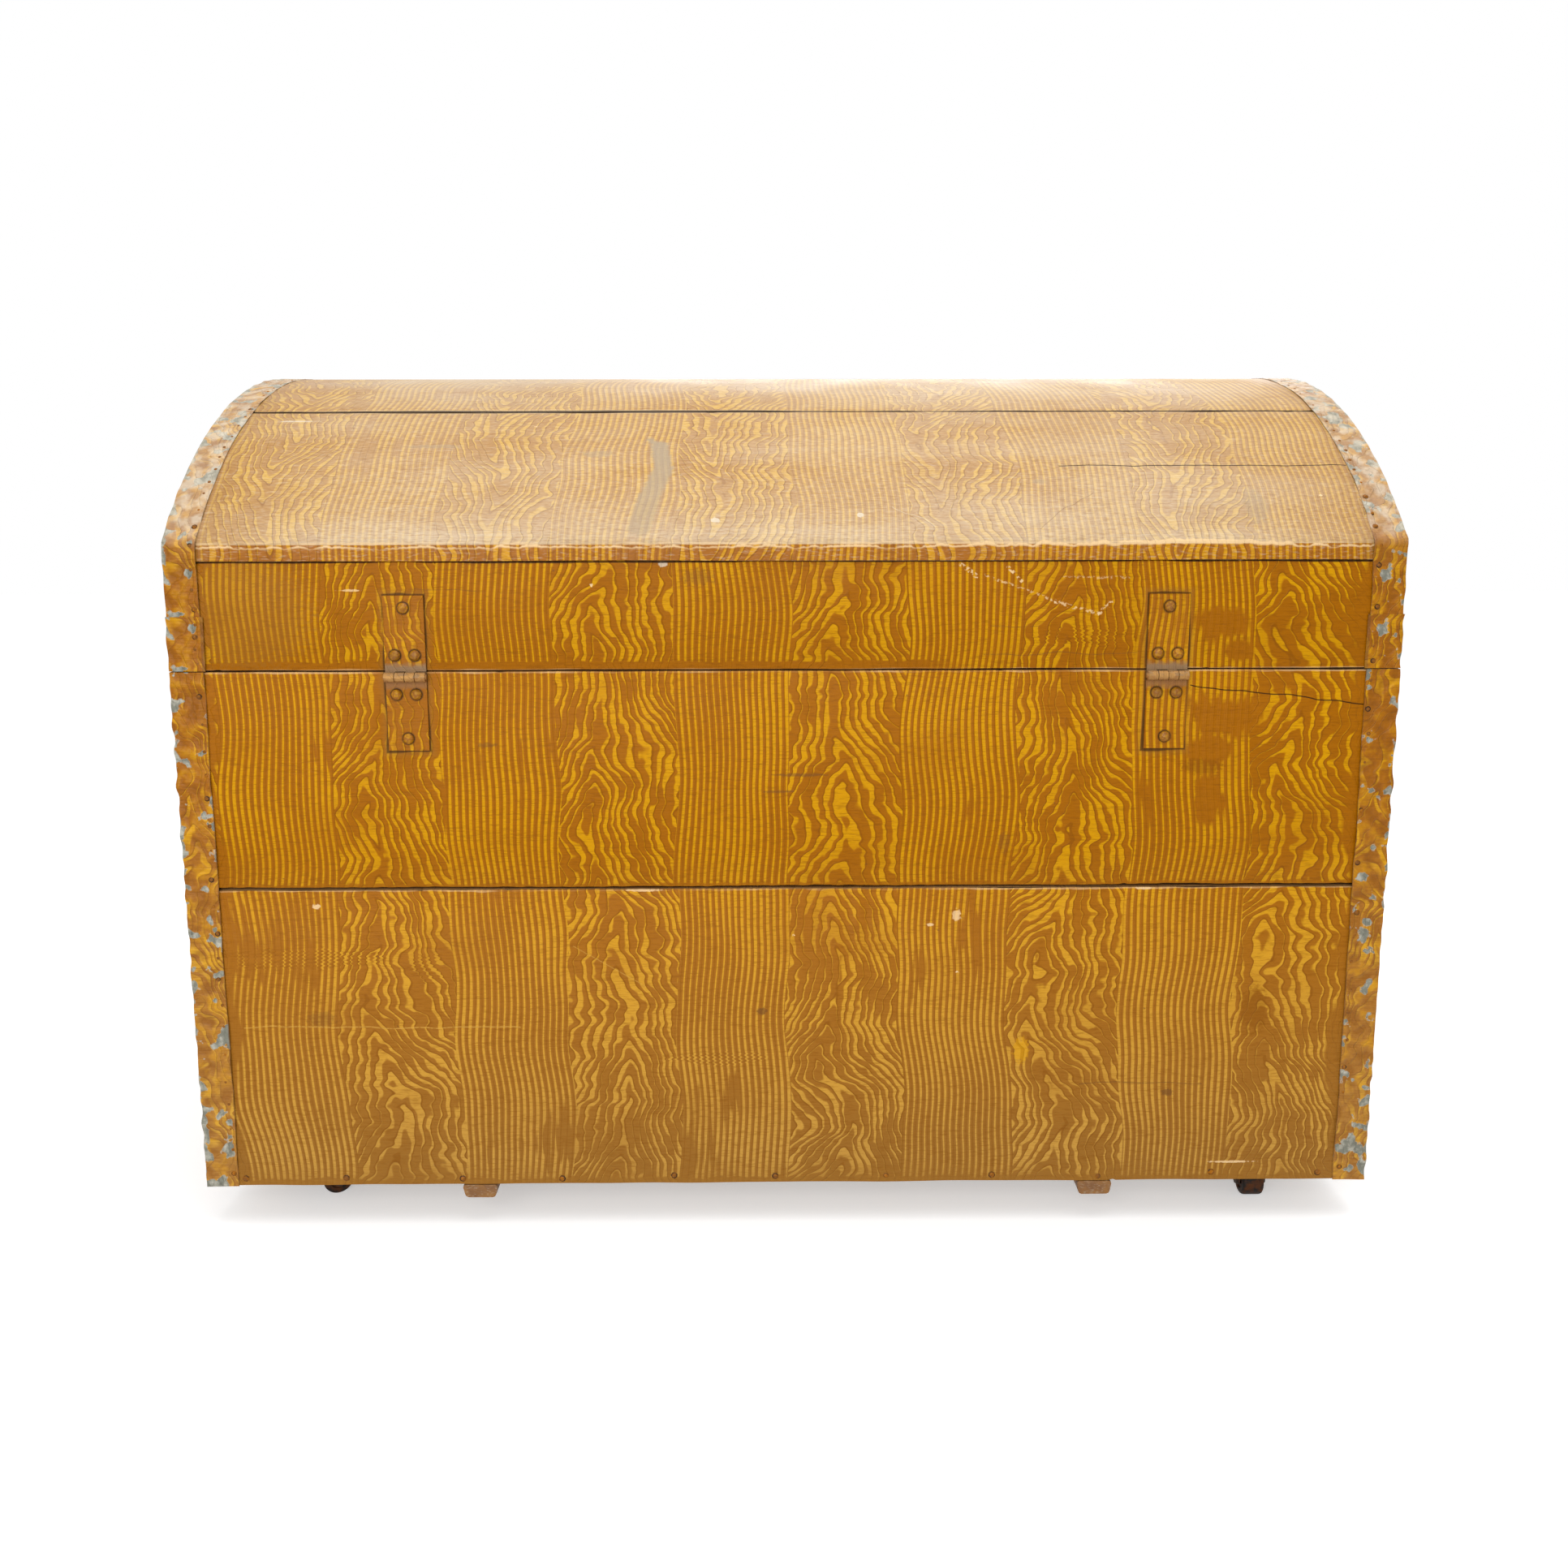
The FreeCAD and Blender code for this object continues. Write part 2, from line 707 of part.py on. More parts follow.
# Domed rivets through leaf and wood, headed over a burr inside the trunk
def make_rivets():
    head = size.rivet_head / 2
    tall = size.rivet_head_height
    ball = (head * head + tall * tall) / (2 * tall)
    shank = size.rivet_shank / 2
    grip = size.hinge_leaf + size.wall
    burr = size.rivet_burr / 2
    outline = [
        (ZERO, tall, Arc(ZERO, tall - ball, -1)),
        (head, ZERO),
        (shank, ZERO),
        (shank, -grip),
        (burr, -grip),
        (burr, -grip - size.rivet_burr_height),
        (ZERO, -grip - size.rivet_burr_height),
    ]
    seat = half_depth + size.hinge_leaf
    for name, spots in (("hinge_rivets_lid", lid_rivets), ("hinge_rivets_body", body_rivets)):
        rivets = []
        for number, (x, z) in enumerate(spots, start=1):
            rivet = new_body(f"{name}_{number}", (x, seat, z), kept=False)
            revolve(rivet, "Rivet", "XY_Plane", outline, "Y_Axis")
            rivets.append(rivet)
        new_group(name, rivets)


# Chest lock: a folded case on the inside of the front, open towards the wood. The key throws the bolt
# through the keeper's eye; the bolt slides on two stepped stumps and rests drawn back.
lock_back = -inner_depth + size.lock_depth
case_plate = lock_back - size.lock_plate
bolt_z = body_top - size.bolt_drop
bolt_back = case_plate - size.bolt_standoff
bolt_front = bolt_back - size.bolt_thickness


def make_lock_case():
    case = new_body("lock_case")
    low_z = body_top - size.lock_height
    outline = box_outline(-size.lock_left, size.lock_right, low_z, body_top)
    pad(case, "Case", "XZ_Plane", [outline], -inner_depth, lock_back)
    inside = box_outline(
        size.lock_plate - size.lock_left,
        size.lock_right - size.lock_plate,
        low_z + size.lock_plate,
        body_top - size.lock_plate,
    )
    pocket(case, "Cavity", "XZ_Plane", [inside], -inner_depth, case_plate)
    clear = size.keeper_slot_clearance
    mouth = box_outline(
        size.keeper_lug_start - clear,
        size.keeper_lug_start + size.keeper_lug + clear,
        -inner_depth,
        case_plate,
    )
    pocket(case, "KeeperSlot", "XY_Plane", [mouth], body_top - size.lock_plate, body_top)
    for place in (-size.stump_left, size.stump_right):
        shoulder = Circle(place, bolt_z, size.stump_shoulder / 2)
        pad(case, "StumpShoulder", "XZ_Plane", [shoulder], bolt_back + size.side_clearance, case_plate)
        stump = Circle(place, bolt_z, size.stump_diameter / 2)
        pad(case, "Stump", "XZ_Plane", [stump], bolt_front, bolt_back + size.side_clearance)


def make_lock_bolt():
    bolt = new_body("lock_bolt")
    tall = size.bolt_height / 2
    tip = size.bolt_tip_height / 2
    notch = size.bolt_notch_width / 2
    outline = [
        (-size.bolt_left, bolt_z - tall),
        (-notch, bolt_z - tall),
        (-notch, bolt_z - tall + size.bolt_notch_height),
        (notch, bolt_z - tall + size.bolt_notch_height),
        (notch, bolt_z - tall),
        (size.bolt_shoulder, bolt_z - tall),
        (size.bolt_shoulder, bolt_z - tip),
        (size.bolt_tip, bolt_z - tip),
        (size.bolt_tip, bolt_z + tip),
        (size.bolt_shoulder, bolt_z + tip),
        (size.bolt_shoulder, bolt_z + tall),
        (-size.bolt_left, bolt_z + tall),
    ]
    pad(bolt, "Bolt", "XZ_Plane", [outline], bolt_front, bolt_back)
    radius = size.stump_diameter / 2 + size.fit_clearance
    slots = [
        slot_outline(place - size.bolt_travel, place, bolt_z, radius)
        for place in (-size.stump_left, size.stump_right)
    ]
    pocket(bolt, "StumpSlots", "XZ_Plane", slots, bolt_front, bolt_back)


def make_lock_keeper():
    keeper = new_body("lock_keeper")
    middle = size.keeper_lug_start + size.keeper_lug / 2
    plate_back = size.keeper_plate - inner_depth
    low, high = middle - size.keeper_width / 2, middle + size.keeper_width / 2
    plate = box_outline(low, high, lid_bottom, lid_bottom + size.keeper_height)
    pad(keeper, "Plate", "XZ_Plane", [plate], -inner_depth, plate_back)
    lug_back = plate_back + size.keeper_lug_depth
    lug_low = body_top - size.keeper_lug_reach
    lug = box_outline(plate_back, lug_back, lug_low, lid_bottom + size.keeper_height / 2)
    lug_end = size.keeper_lug_start + size.keeper_lug
    pad(keeper, "Lug", "YZ_Plane", [lug], size.keeper_lug_start, lug_end)
    eye = Circle((bolt_front + bolt_back) / 2, bolt_z, size.keeper_eye / 2)
    pocket(keeper, "Eye", "YZ_Plane", [eye], size.keeper_lug_start, lug_end)


def make_escutcheon():
    plate = new_body("keyhole_escutcheon")
    radius = size.escutcheon_width / 2
    straight = size.escutcheon_height / 2 - radius
    middle = keyhole_z - size.keyhole_length / 4
    outline = [
        (radius, middle - straight),
        (radius, middle + straight, Arc(ZERO, middle + straight, 1)),
        (-radius, middle + straight),
        (-radius, middle - straight, Arc(ZERO, middle - straight, 1)),
    ]
    face = -half_depth - size.escutcheon_thickness
    pad(plate, "Plate", "XZ_Plane", [outline], face, -half_depth)
    pocket(plate, "Keyhole", "XZ_Plane", [keyhole_outline(keyhole_z, ZERO)], face, -half_depth)


# Bail handles: a bent rod on each end, its turned-out ends in two eyes
def make_handles():
    eyes = {"left": [], "right": []}
    rod = size.handle_rod / 2
    bend = size.handle_bend
    inner_face = size.eye_spacing / 2 - size.eye_thickness / 2
    leg = inner_face - bend - size.side_clearance
    tip = size.eye_spacing / 2 + size.eye_thickness / 2 + size.handle_end
    drop = size.handle_drop
    path = [
        (-tip, ZERO),
        (-leg - bend, ZERO, Arc(-leg - bend, -bend, -1)),
        (-leg, -bend),
        (-leg, bend - drop, Arc(bend - leg, bend - drop, 1)),
        (bend - leg, -drop),
        (leg - bend, -drop, Arc(leg - bend, bend - drop, 1)),
        (leg, bend - drop),
        (leg, -bend, Arc(leg + bend, -bend, -1)),
        (leg + bend, ZERO),
        (tip, ZERO),
    ]
    for side, sign in SIDES:
        turn = amount(0 if sign > 0 else 180)
        height = board_bottom + size.handle_height
        bail = new_body(f"handle_bail_{side}", (sign * (half_width + size.handle_out), ZERO, height), turn)
        line = draw(bail, "Centreline", "YZ_Plane", [path], closed=False)
        section = draw(bail, "Section", "XZ_Plane", [Circle(ZERO, ZERO, rod)], -tip)
        bent = bail.newObject("PartDesign::AdditivePipe", "BentRod")
        bent.Profile = section
        doc.recompute()
        bent.Spine = (line, [f"Edge{i}" for i in range(1, len(path))])
        doc.recompute()
        for end, sign_y in ENDS:
            spot = (sign * half_width, sign_y * size.eye_spacing / 2, height)
            eye = new_body(f"handle_eye_{side}_{end}", spot, turn, kept=False)
            make_eye(eye)
            eyes[side].append(eye)
        new_group(f"handle_eyes_{side}", eyes[side])


def make_eye(eye):
    """An eye plate at its own origin: the plate lies on the wood and the eye stands out along +X."""
    radius = size.eye_plate_width / 2
    straight = size.eye_plate_height / 2 - radius
    outline = [
        (radius, -straight),
        (radius, straight, Arc(ZERO, straight, 1)),
        (-radius, straight),
        (-radius, -straight, Arc(ZERO, -straight, 1)),
    ]
    pad(eye, "Plate", "YZ_Plane", [outline], ZERO, size.eye_plate)
    lug = [
        (ZERO, -size.eye_radius),
        (size.handle_out, -size.eye_radius, Arc(size.handle_out, ZERO, 1)),
        (size.handle_out, size.eye_radius),
        (ZERO, size.eye_radius),
    ]
    thick = size.eye_thickness / 2
    pad(eye, "Eye", "XZ_Plane", [lug], -thick, thick)
    bore = Circle(size.handle_out, ZERO, size.handle_rod / 2 + size.fit_clearance)
    pocket(eye, "Bore", "XZ_Plane", [bore], -thick, thick)


# Castors: a plate with a king pin, a fork that swivels on it, and a wide roller on a riveted axle
wheel_radius = size.wheel_diameter / 2
fork_top = -size.castor_plate - size.swivel_gap
fork_bottom = fork_top - size.fork_thickness
pin_head_top = fork_bottom - size.swivel_gap
axle_z = wheel_radius - size.castor_height
ear_inside = size.wheel_width / 2 + size.side_clearance
ear_outside = ear_inside + size.fork_thickness


def make_castors():
    for end, sign_y in ENDS:
        for side, sign_x in SIDES:
            place = f"{end}_{side}"
            x = sign_x * (half_width - size.castor_from_end)
            y = sign_y * (half_depth - size.castor_from_back)
            turn = getattr(size, f"turn_{place}")
            make_castor_plate(new_body(f"castor_plate_{place}", (x, y, board_bottom)))
            make_fork(new_body(f"castor_fork_{place}", (x, y, board_bottom), turn))
            axle_x = x + size.castor_trail * cosine(turn)
            axle_y = y + size.castor_trail * sine(turn)
            spot = (axle_x, axle_y, wheel_radius)
            make_axle(new_body(f"castor_axle_{place}", spot, turn))
            make_wheel(new_body(f"castor_wheel_{place}", spot, turn))


def make_castor_plate(plate):
    half = size.castor_plate_size / 2
    square = pad(plate, "Plate", "XY_Plane", [box_outline(-half, half, -half, half)], -size.castor_plate, ZERO)
    fillet(plate, "RoundCorners", square, upright, size.castor_plate_corner)
    pin = Circle(ZERO, ZERO, size.king_pin / 2)
    pad(plate, "KingPin", "XY_Plane", [pin], pin_head_top, -size.castor_plate)
    head = Circle(ZERO, ZERO, size.king_pin_head / 2)
    pad(plate, "KingPinHead", "XY_Plane", [head], pin_head_top - size.king_pin_head_height, pin_head_top)


def make_fork(fork):
    """A disc on the king pin with two ears that reach back and down to the axle."""
    disc = size.fork_disc / 2
    bore = Circle(ZERO, ZERO, size.king_pin / 2 + size.fit_clearance)
    pad(fork, "Disc", "XY_Plane", [Circle(ZERO, ZERO, disc), bore], fork_bottom, fork_top)
    root_back = root(disc * disc - ear_outside * ear_outside)
    trail, boss = size.castor_trail, size.fork_boss
    outline = [
        (trail - boss, axle_z, Arc(trail, axle_z, 1)),
        (trail + boss, axle_z),
        (trail + boss, fork_bottom - size.fork_thickness),
        (root_back, fork_top),
        (-root_back, fork_top),
        (-root_back, fork_bottom - size.fork_thickness),
    ]
    hole = Circle(trail, axle_z, size.axle / 2 + size.fit_clearance)
    pad(fork, "EarFront", "XZ_Plane", [outline, hole], -ear_outside, -ear_inside)
    pad(fork, "EarBack", "XZ_Plane", [outline, hole], ear_inside, ear_outside)


def make_axle(axle):
    """A pin across the fork with a flat head on both ends, at its own middle."""
    head, shank = size.axle_head / 2, size.axle / 2
    end = ear_outside + size.axle_head_height
    outline = [
        (-end, ZERO),
        (end, ZERO),
        (end, head),
        (ear_outside, head),
        (ear_outside, shank),
        (-ear_outside, shank),
        (-ear_outside, head),
        (-end, head),
    ]
    revolve(axle, "Axle", "YZ_Plane", outline, "Y_Axis")


def make_wheel(wheel):
    """A wide roller with bevelled edges, at its own middle."""
    half = size.wheel_width / 2
    flat, shoulder = half - size.wheel_bevel, wheel_radius - size.wheel_bevel
    bore = size.axle / 2 + size.fit_clearance
    outline = [
        (-half, bore),
        (half, bore),
        (half, shoulder),
        (flat, wheel_radius),
        (-flat, wheel_radius),
        (-half, shoulder),
    ]
    revolve(wheel, "Wheel", "YZ_Plane", outline, "Y_Axis")


def check_and_export():
    """Refuse a failed object or a cut that removes nothing, then write one STEP file for each sub-part."""
    doc.recompute()
    for thing in doc.Objects:
        if "Invalid" in thing.State or "Error" in thing.State:
            raise RuntimeError(f"{thing.Label} failed: {thing.State}")
        if thing.TypeId == "PartDesign::Pocket" and thing.Shape.Volume >= thing.BaseFeature.Shape.Volume:
            raise RuntimeError(f"{thing.Label} cuts nothing")
    os.makedirs("parts", exist_ok=True)
    for piece in sub_parts:
        if piece.Shape.isNull() or not piece.Shape.isValid():
            raise RuntimeError(f"{piece.Label} has no valid shape")
        if not piece.Shape.Solids:
            raise RuntimeError(f"{piece.Label} has no solid")
    for piece in sub_parts:
        piece.Shape.exportStep(f"parts/{piece.Label}.step")
    print(f"{len(sub_parts)} sub-parts written")


make_long_walls()
make_end_walls()
make_bottom()
make_battens()
make_corner_strips()
make_lid_rails()
make_lid_ends()
make_dome_boards()
make_dome_strips()
make_hinges()
make_rivets()
make_lock_case()
make_lock_bolt()
make_lock_keeper()
make_escutcheon()
make_handles()
make_castors()
check_and_export()
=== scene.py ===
"""The finish of a dome top trunk: comb-grained paint, flaked strips, worn boards and fasteners."""
import json
import math
import random
from functools import partial
from itertools import product

import bmesh
import bpy
from bpy.props import FloatProperty, FloatVectorProperty, PointerProperty
from mathutils import Matrix, Vector, noise


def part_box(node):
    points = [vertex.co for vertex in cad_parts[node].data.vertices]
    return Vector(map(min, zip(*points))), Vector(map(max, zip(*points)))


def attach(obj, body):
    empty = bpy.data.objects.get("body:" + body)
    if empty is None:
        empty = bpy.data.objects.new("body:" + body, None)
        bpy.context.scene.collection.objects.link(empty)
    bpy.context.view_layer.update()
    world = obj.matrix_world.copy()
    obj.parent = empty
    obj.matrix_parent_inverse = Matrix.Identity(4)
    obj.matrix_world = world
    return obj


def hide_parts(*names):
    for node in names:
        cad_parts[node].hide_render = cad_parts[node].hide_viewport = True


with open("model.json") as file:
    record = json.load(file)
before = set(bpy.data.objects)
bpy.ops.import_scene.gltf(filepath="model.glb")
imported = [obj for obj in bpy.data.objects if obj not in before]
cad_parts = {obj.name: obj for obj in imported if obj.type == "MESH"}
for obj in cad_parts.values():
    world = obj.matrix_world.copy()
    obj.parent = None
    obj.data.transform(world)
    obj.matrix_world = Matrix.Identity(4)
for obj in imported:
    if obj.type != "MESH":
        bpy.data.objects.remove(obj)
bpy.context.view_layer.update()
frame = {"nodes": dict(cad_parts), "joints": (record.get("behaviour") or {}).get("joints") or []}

bl_info = {
    "name": "Dome top trunk finish",
    "version": (1, 0, 0),
    "blender": (4, 5, 0),
    "location": "3D View > Sidebar > Trunk",
    "description": "Comb-grained paint, flaked strips, worn boards and fasteners for a dome top trunk",
    "category": "Object",
}

MM = 0.001
VECTOR = "ShaderNodeVectorMath"
NOISE = "ShaderNodeTexNoise"
CELLS = "ShaderNodeTexVoronoi"
RANGE = "ShaderNodeMapRange"
MIX = "ShaderNodeMix"
BLEND = "BLEND"
GRAINING = "Comb and heart graining"
SMOOTH = {"interpolation_type": "SMOOTHSTEP"}
COMBINE = "ShaderNodeCombineXYZ"
SEPARATE = "ShaderNodeSeparateXYZ"
SIDES = (("left", -1), ("right", 1))
ENDS = (("front", -1), ("back", 1))
NODES = frame["nodes"]


def level(node, axis, end):
    """One face of a node's box: end 0 is the low one and 1 the high one."""
    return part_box(node)[end][axis]


# Faces and levels of the boards, read from the frame
HALF_WIDTH = level("back_board_upper", 0, 1)
HALF_DEPTH = level("back_board_upper", 1, 1)
WALL = HALF_DEPTH - level("back_board_upper", 1, 0)
BOARD_BOTTOM = level("back_board_lower", 2, 0)
BOARD_JOINT = (level("back_board_lower", 2, 1) + level("back_board_upper", 2, 0)) / 2
BODY_TOP = level("back_board_upper", 2, 1)
LID_BOTTOM = level("lid_back_rail", 2, 0)
CREST = level("dome_board_2", 2, 1)
STRIP_WIDTH = HALF_WIDTH - level("corner_strip_back_right", 0, 0)
SHEET = level("corner_strip_back_right", 0, 1) - HALF_WIDTH
HINGE_X = sum(p.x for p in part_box("hinge_body_leaf_right")) / 2
BATTEN_FOOT = level("batten_left", 2, 0)
RAIL_TOP = level("dome_board_4", 2, 0)
TAB_FOOT = level("lid_corner_strips", 2, 1)

# Sizes that the frame doesn't give, in metres
PLATE = 0.002
SCREW_HEAD = (0.0034, 0.0008)
SLOT = 0.001
SLOT_FLOOR = 0.0002
PIN_HEAD = (0.0016, 0.0008)
PIN_SINK = 0.0005
NAIL_HEIGHT = 0.001
# A handle plate's screws, off the plate's middle
EYE_SCREW_Y = 0.065
EYE_SCREW_Z = 0.0195
ROLLER_BORE = 0.0042
# A dark skirt round a head: how far it reaches and how high it stands, for tacks and nails
TACK_SKIRT = (0.0008, 0.0004)
NAIL_SKIRT = (0.0009, 0.0004)
# Tacks stop short of a strip's end, and stand proud of the buckled sheet
TACK_CLEAR = 0.004
TACK_LIFT = 0.0005
DOME_TACK_LIFT = 0.0006
# The grid of a strip's sheet, the rounding of its fold and where its snips begin
SHEET_GRID = 0.0028
FOLD_EASE = 0.002
SNIP_START = 0.004
SNIPS = 12
# Half the gap between two dome boards, and the worn band along their edges
BOARD_GAP = 0.0009
EDGE_BAND = 0.003

# The lamps: name, power setting and the share of it, place and width in metres
LAMPS = (
    ("key", "key_light", 1.0, (0.7, 2.9, 1.0), 2.4),
    ("fill", "key_light", 0.8, (-0.7, -2.9, 1.0), 2.4),
    ("top", "top_light", 1.0, (-0.2, 0.3, 2.6), 2.2),
)
LAMPS_AIM = Vector((0, 0, 0.35))

# Marks on the back: middle or ends as (X, Z), half sizes, colour and strength, in millimetres
BACK_SPOTS = (
    ((22, 192), (5, 3.4), "grime", 0.75),
    ((-326, 117), (5.5, 3.6), "grime", 0.75),
    ((-342, 403), (17, 7), "outline", 0.5),
    ((72, 560), (14, 7), "grime", 0.35),
    ((395, 187), (13, 7), "grime", 0.35),
    ((-397, 192), (13, 22), "outline", 0.45),
    ((-180, 339), (6, 9), "grime", 0.3),
    ((246, 423), (8, 2.0), "grime", 0.5),
    ((-199, 156), (7, 12), "stripe", 0.5),
    ((-384, 53), (19, 1.1), "splinter", 0.85),
    ((352, 550), (9, 0.9), "splinter", 0.7),
    ((393, 286), (4, 2.2), "splinter", 0.8),
    ((440, 532), (62, 50), "dull_ground", 0.3),
    ((-142, 276), (4, 5), "splinter", 0.7),
    ((-120, 268), (3, 1.5), "splinter", 0.8),
    ((120, 299), (16, 1.3), "splinter", 0.7),
    ((-300, 299), (8, 1.4), "splinter", 0.8),
    ((100, 571), (4, 3), "bloom", 0.7),
    ((-10, 397), (24, 1.4), "grime", 0.6),
    ((7, 383), (14, 1.2), "grime", 0.6),
)
BACK_LINES = (
    ((460, 180), (227, 179), 0.5, "dull_stripe", 0.65),
    ((-250, 126), (-355, 125.5), 0.45, "grime", 0.7),
    ((-140, 570), (-152, 561), 1.0, "splinter", 0.8),
    ((-178, 568), (-190, 556), 0.8, "splinter", 0.9),
    ((-160, 562), (-216, 541), 0.5, "splinter", 0.6),
    ((-216, 541), (-252, 530), 0.8, "splinter", 0.7),
    ((-252, 530), (-262, 540), 0.7, "splinter", 0.7),
    ((-222, 560), (-276, 559), 0.4, "splinter", 0.4),
    ((-165, 520), (-205, 519.5), 0.3, "grime", 0.6),
    ((-160, 497), (-285, 498), 0.35, "grime", 0.6),
    ((300, 552), (250, 549), 0.35, "grime", 0.5),
    ((180, 250), (120, 215), 0.3, "dull_stripe", 0.6),
)
CRACK = ((-330, 471.0), (-474, 455.0))
# Places on the back where the comb chattered: fine steps across the stripes, this far apart
CHATTER_PITCH = 3.2
CHATTER = (
    ((405, 240), (80, 9)),
    ((305, 232), (17, 14)),
    ((-240, 512), (40, 8)),
    ((60, 150), (45, 6)),
)
# Places on the back where the glaze was left uncombed
BARE_OF_COMB = (
    ((-360, 445), (34, 20)),
    ((-352, 522), (22, 15)),
    ((-368, 500), (12, 10)),
    ((-350, 375), (14, 22)),
    ((-348, 418), (20, 14)),
)
# A grey smear down the dome: ends as (X, arc) and half widths
DOME_SMEAR = (
    ((117, 240), (108, 250), 3.0),
    ((108, 250), (103, 284), 7.5),
    ((103, 284), (113, 320), 8.5),
    ((113, 320), (119, 352), 9.5),
)
DOME_SPOTS = (
    ((-385, 330), (10, 22), "grime_veil", 0.35),
    ((-210, 300), (7, 3), "grime_veil", 0.4),
    ((300, 250), (26, 3), "grime_veil", 0.4),
    ((160, 262), (14, 5), "grime_veil", 0.4),
    ((-60, 340), (3, 3), "bloom", 0.8),
    ((58, 345), (4, 3), "bloom", 0.8),
    ((430, 205), (18, 1.6), "bloom", 0.7),
)
DOME_LINES = (
    ((-205, 355), (-250, 315), 0.3, "grime", 0.5),
    ((-245, 245), (-330, 248), 0.3, "grime", 0.45),
    ((-90, 330), (-120, 352), 0.3, "bloom", 0.6),
)
DOME_SPLIT = ((-232, 279.5), (-472, 279.5))


def linear(code):
    """An sRGB hex colour as linear red, green, blue and alpha."""
    parts = [int(code[i:i + 2], 16) / 255 for i in (1, 3, 5)]
    return tuple(p / 12.92 if p <= 0.04045 else ((p + 0.055) / 1.055) ** 2.4 for p in parts) + (1.0,)


def colour(name, code, description):
    """A colour property whose default is written as sRGB hex."""
    return FloatVectorProperty(
        name=name, description=description, subtype="COLOR", size=4, min=0, max=1, default=linear(code)
    )


def number(name, default, description, **limits):
    """A number property."""
    return FloatProperty(name=name, description=description, default=default, **limits)


def length(name, default, description):
    """A length property in millimetres."""
    return number(name, default, description, min=0)


class TrunkPaint(bpy.types.PropertyGroup):
    ground: colour("Ground", "#9A5C00", "Orange-brown glaze that the comb is pulled through")
    stripe: colour("Stripe", "#CB9200", "Yellow base coat that the comb bares")
    outline: colour("Outline", "#784400", "Ridge of glaze beside a stripe")
    dull_ground: colour("Dull ground", "#8F6224", "Glaze where the lower boards have dulled")
    dull_stripe: colour("Dull stripe", "#BE9140", "Stripe where the lower boards have dulled")
    faded_ground: colour("Faded ground", "#9F7232", "Glaze where the strips have faded")
    faded_stripe: colour("Faded stripe", "#C0953A", "Stripe where the strips have faded")
    # The dome's colours are paler than the boards' partly as a painted sheen of the light the dome catches
    # from above
    dome_ground: colour("Dome ground", "#A6793A", "Glaze on the sun-faded dome")
    dome_stripe: colour("Dome stripe", "#CAA040", "Stripe on the sun-faded dome")
    faded_glaze: colour("Faded glaze", "#8E6238", "Dull glaze by the hinge's barrel")
    grime_veil: colour("Grime veil", "#9B8970", "Grey smear on the dome")
    # Bloom: pale rubbed varnish; laid thickly over the dome it is also a painted sheen of light
    bloom: colour("Bloom", "#CDC0AA", "Pale bloom of rubbed, dusty varnish on the dome")
    grime: colour("Grime", "#6A431C", "Dirt in corners and beside the hardware")
    # Rut: dirt, and painted shade at the hinge leaves' edges and round the rivets' feet
    rut_dirt_and_shade: colour("Rut", "#3F260C", "Dirt in the groove round a hinge")
    # Crack: also laid as painted shade along the lid's seam and the boards' joints, under the dome's lower
    # edge and at the rivets' feet
    crack: colour("Crack", "#20130A", "Dark of an open crack")
    # Splinter: also laid as a painted highlight along the seams and the dome's lip
    splinter: colour("Splinter", "#DDBC8C", "Raw wood in a chip")
    comb_pitch: length("Comb pitch", 5.5, "Distance between the comb's stripes, mm")
    column_width: length("Column", 94.4, "Width of one pull of the comb, mm")
    heart_pitch: length("Heart pitch", 7.6, "Distance between the heart grain's lines, mm")
    brush_line: length("Brush line", 0.9, "Height of the brush marks that run along the boards, mm")


class TrunkMetal(bpy.types.PropertyGroup):
    zinc: colour("Zinc", "#747468", "Dull zinc where the paint has flaked off the strips")
    zinc_dark: colour("Zinc stain", "#504E46", "Dark tarnish on the zinc")
    zinc_pale: colour("Zinc bloom", "#B4B0A2", "White bloom and primer at the edge of a flake")
    iron: colour("Iron", "#3A322B", "Old iron of the handles, lock and castors")
    rust: colour("Rust", "#5E3517", "Rust round nails and in iron's hollows")
    dusty: colour("Dusty metal", "#866C50", "Dull metal above a hinge's barrel")
    bright: colour("Rubbed metal", "#A57A45", "Metal rubbed bright on edges and knuckles")
    buckle: length("Buckle", 1.2, "How far the strips' sheet buckles, mm")
    buckle_pitch: length("Buckle pitch", 19, "Distance between buckles, mm")
    edge_wander: length("Edge wander", 1.1, "How unevenly the strips are cut, mm")


class TrunkWood(bpy.types.PropertyGroup):
    pine: colour("Pine", "#A98456", "Aged bare pine")
    pine_dark: colour("Late wood", "#7E5A34", "Dark lines of the pine's grain")
    rub: length("Rubbed edge", 1.1, "Rounding of the boards' edges, mm")
    uneven: length("Uneven edge", 1.0, "How far the boards' edges wander, mm")
    dome_edge: length("Dome edge", 588, "Height at which the dome meets the back, mm")
    dome_board: length("Dome board", 10, "Thickness of the dome boards, mm")


class TrunkFasteners(bpy.types.PropertyGroup):
    rivet: length("Rivet", 9.5, "Width of a hinge rivet's head, mm")
    rivet_height: length("Rivet height", 3.6, "Height of a hinge rivet's head, mm")
    tack: length("Tack", 3.2, "Width of a tack's head, mm")
    tack_height: length("Tack height", 0.9, "Height of a tack's head, mm")
    tack_pitch: length("Tack pitch", 22, "Distance between tacks on the body, mm")
    lid_tack_pitch: length("Lid tack pitch", 16.5, "Distance between tacks on the lid, mm")
    tack_inset: length("Tack inset", 5, "Distance of the tacks from a strip's inner edge, mm")
    nail: length("Nail", 4.4, "Width of a nail's head, mm")
    nail_pitch: length("Nail pitch", 92, "Distance between nails along the bottom, mm")


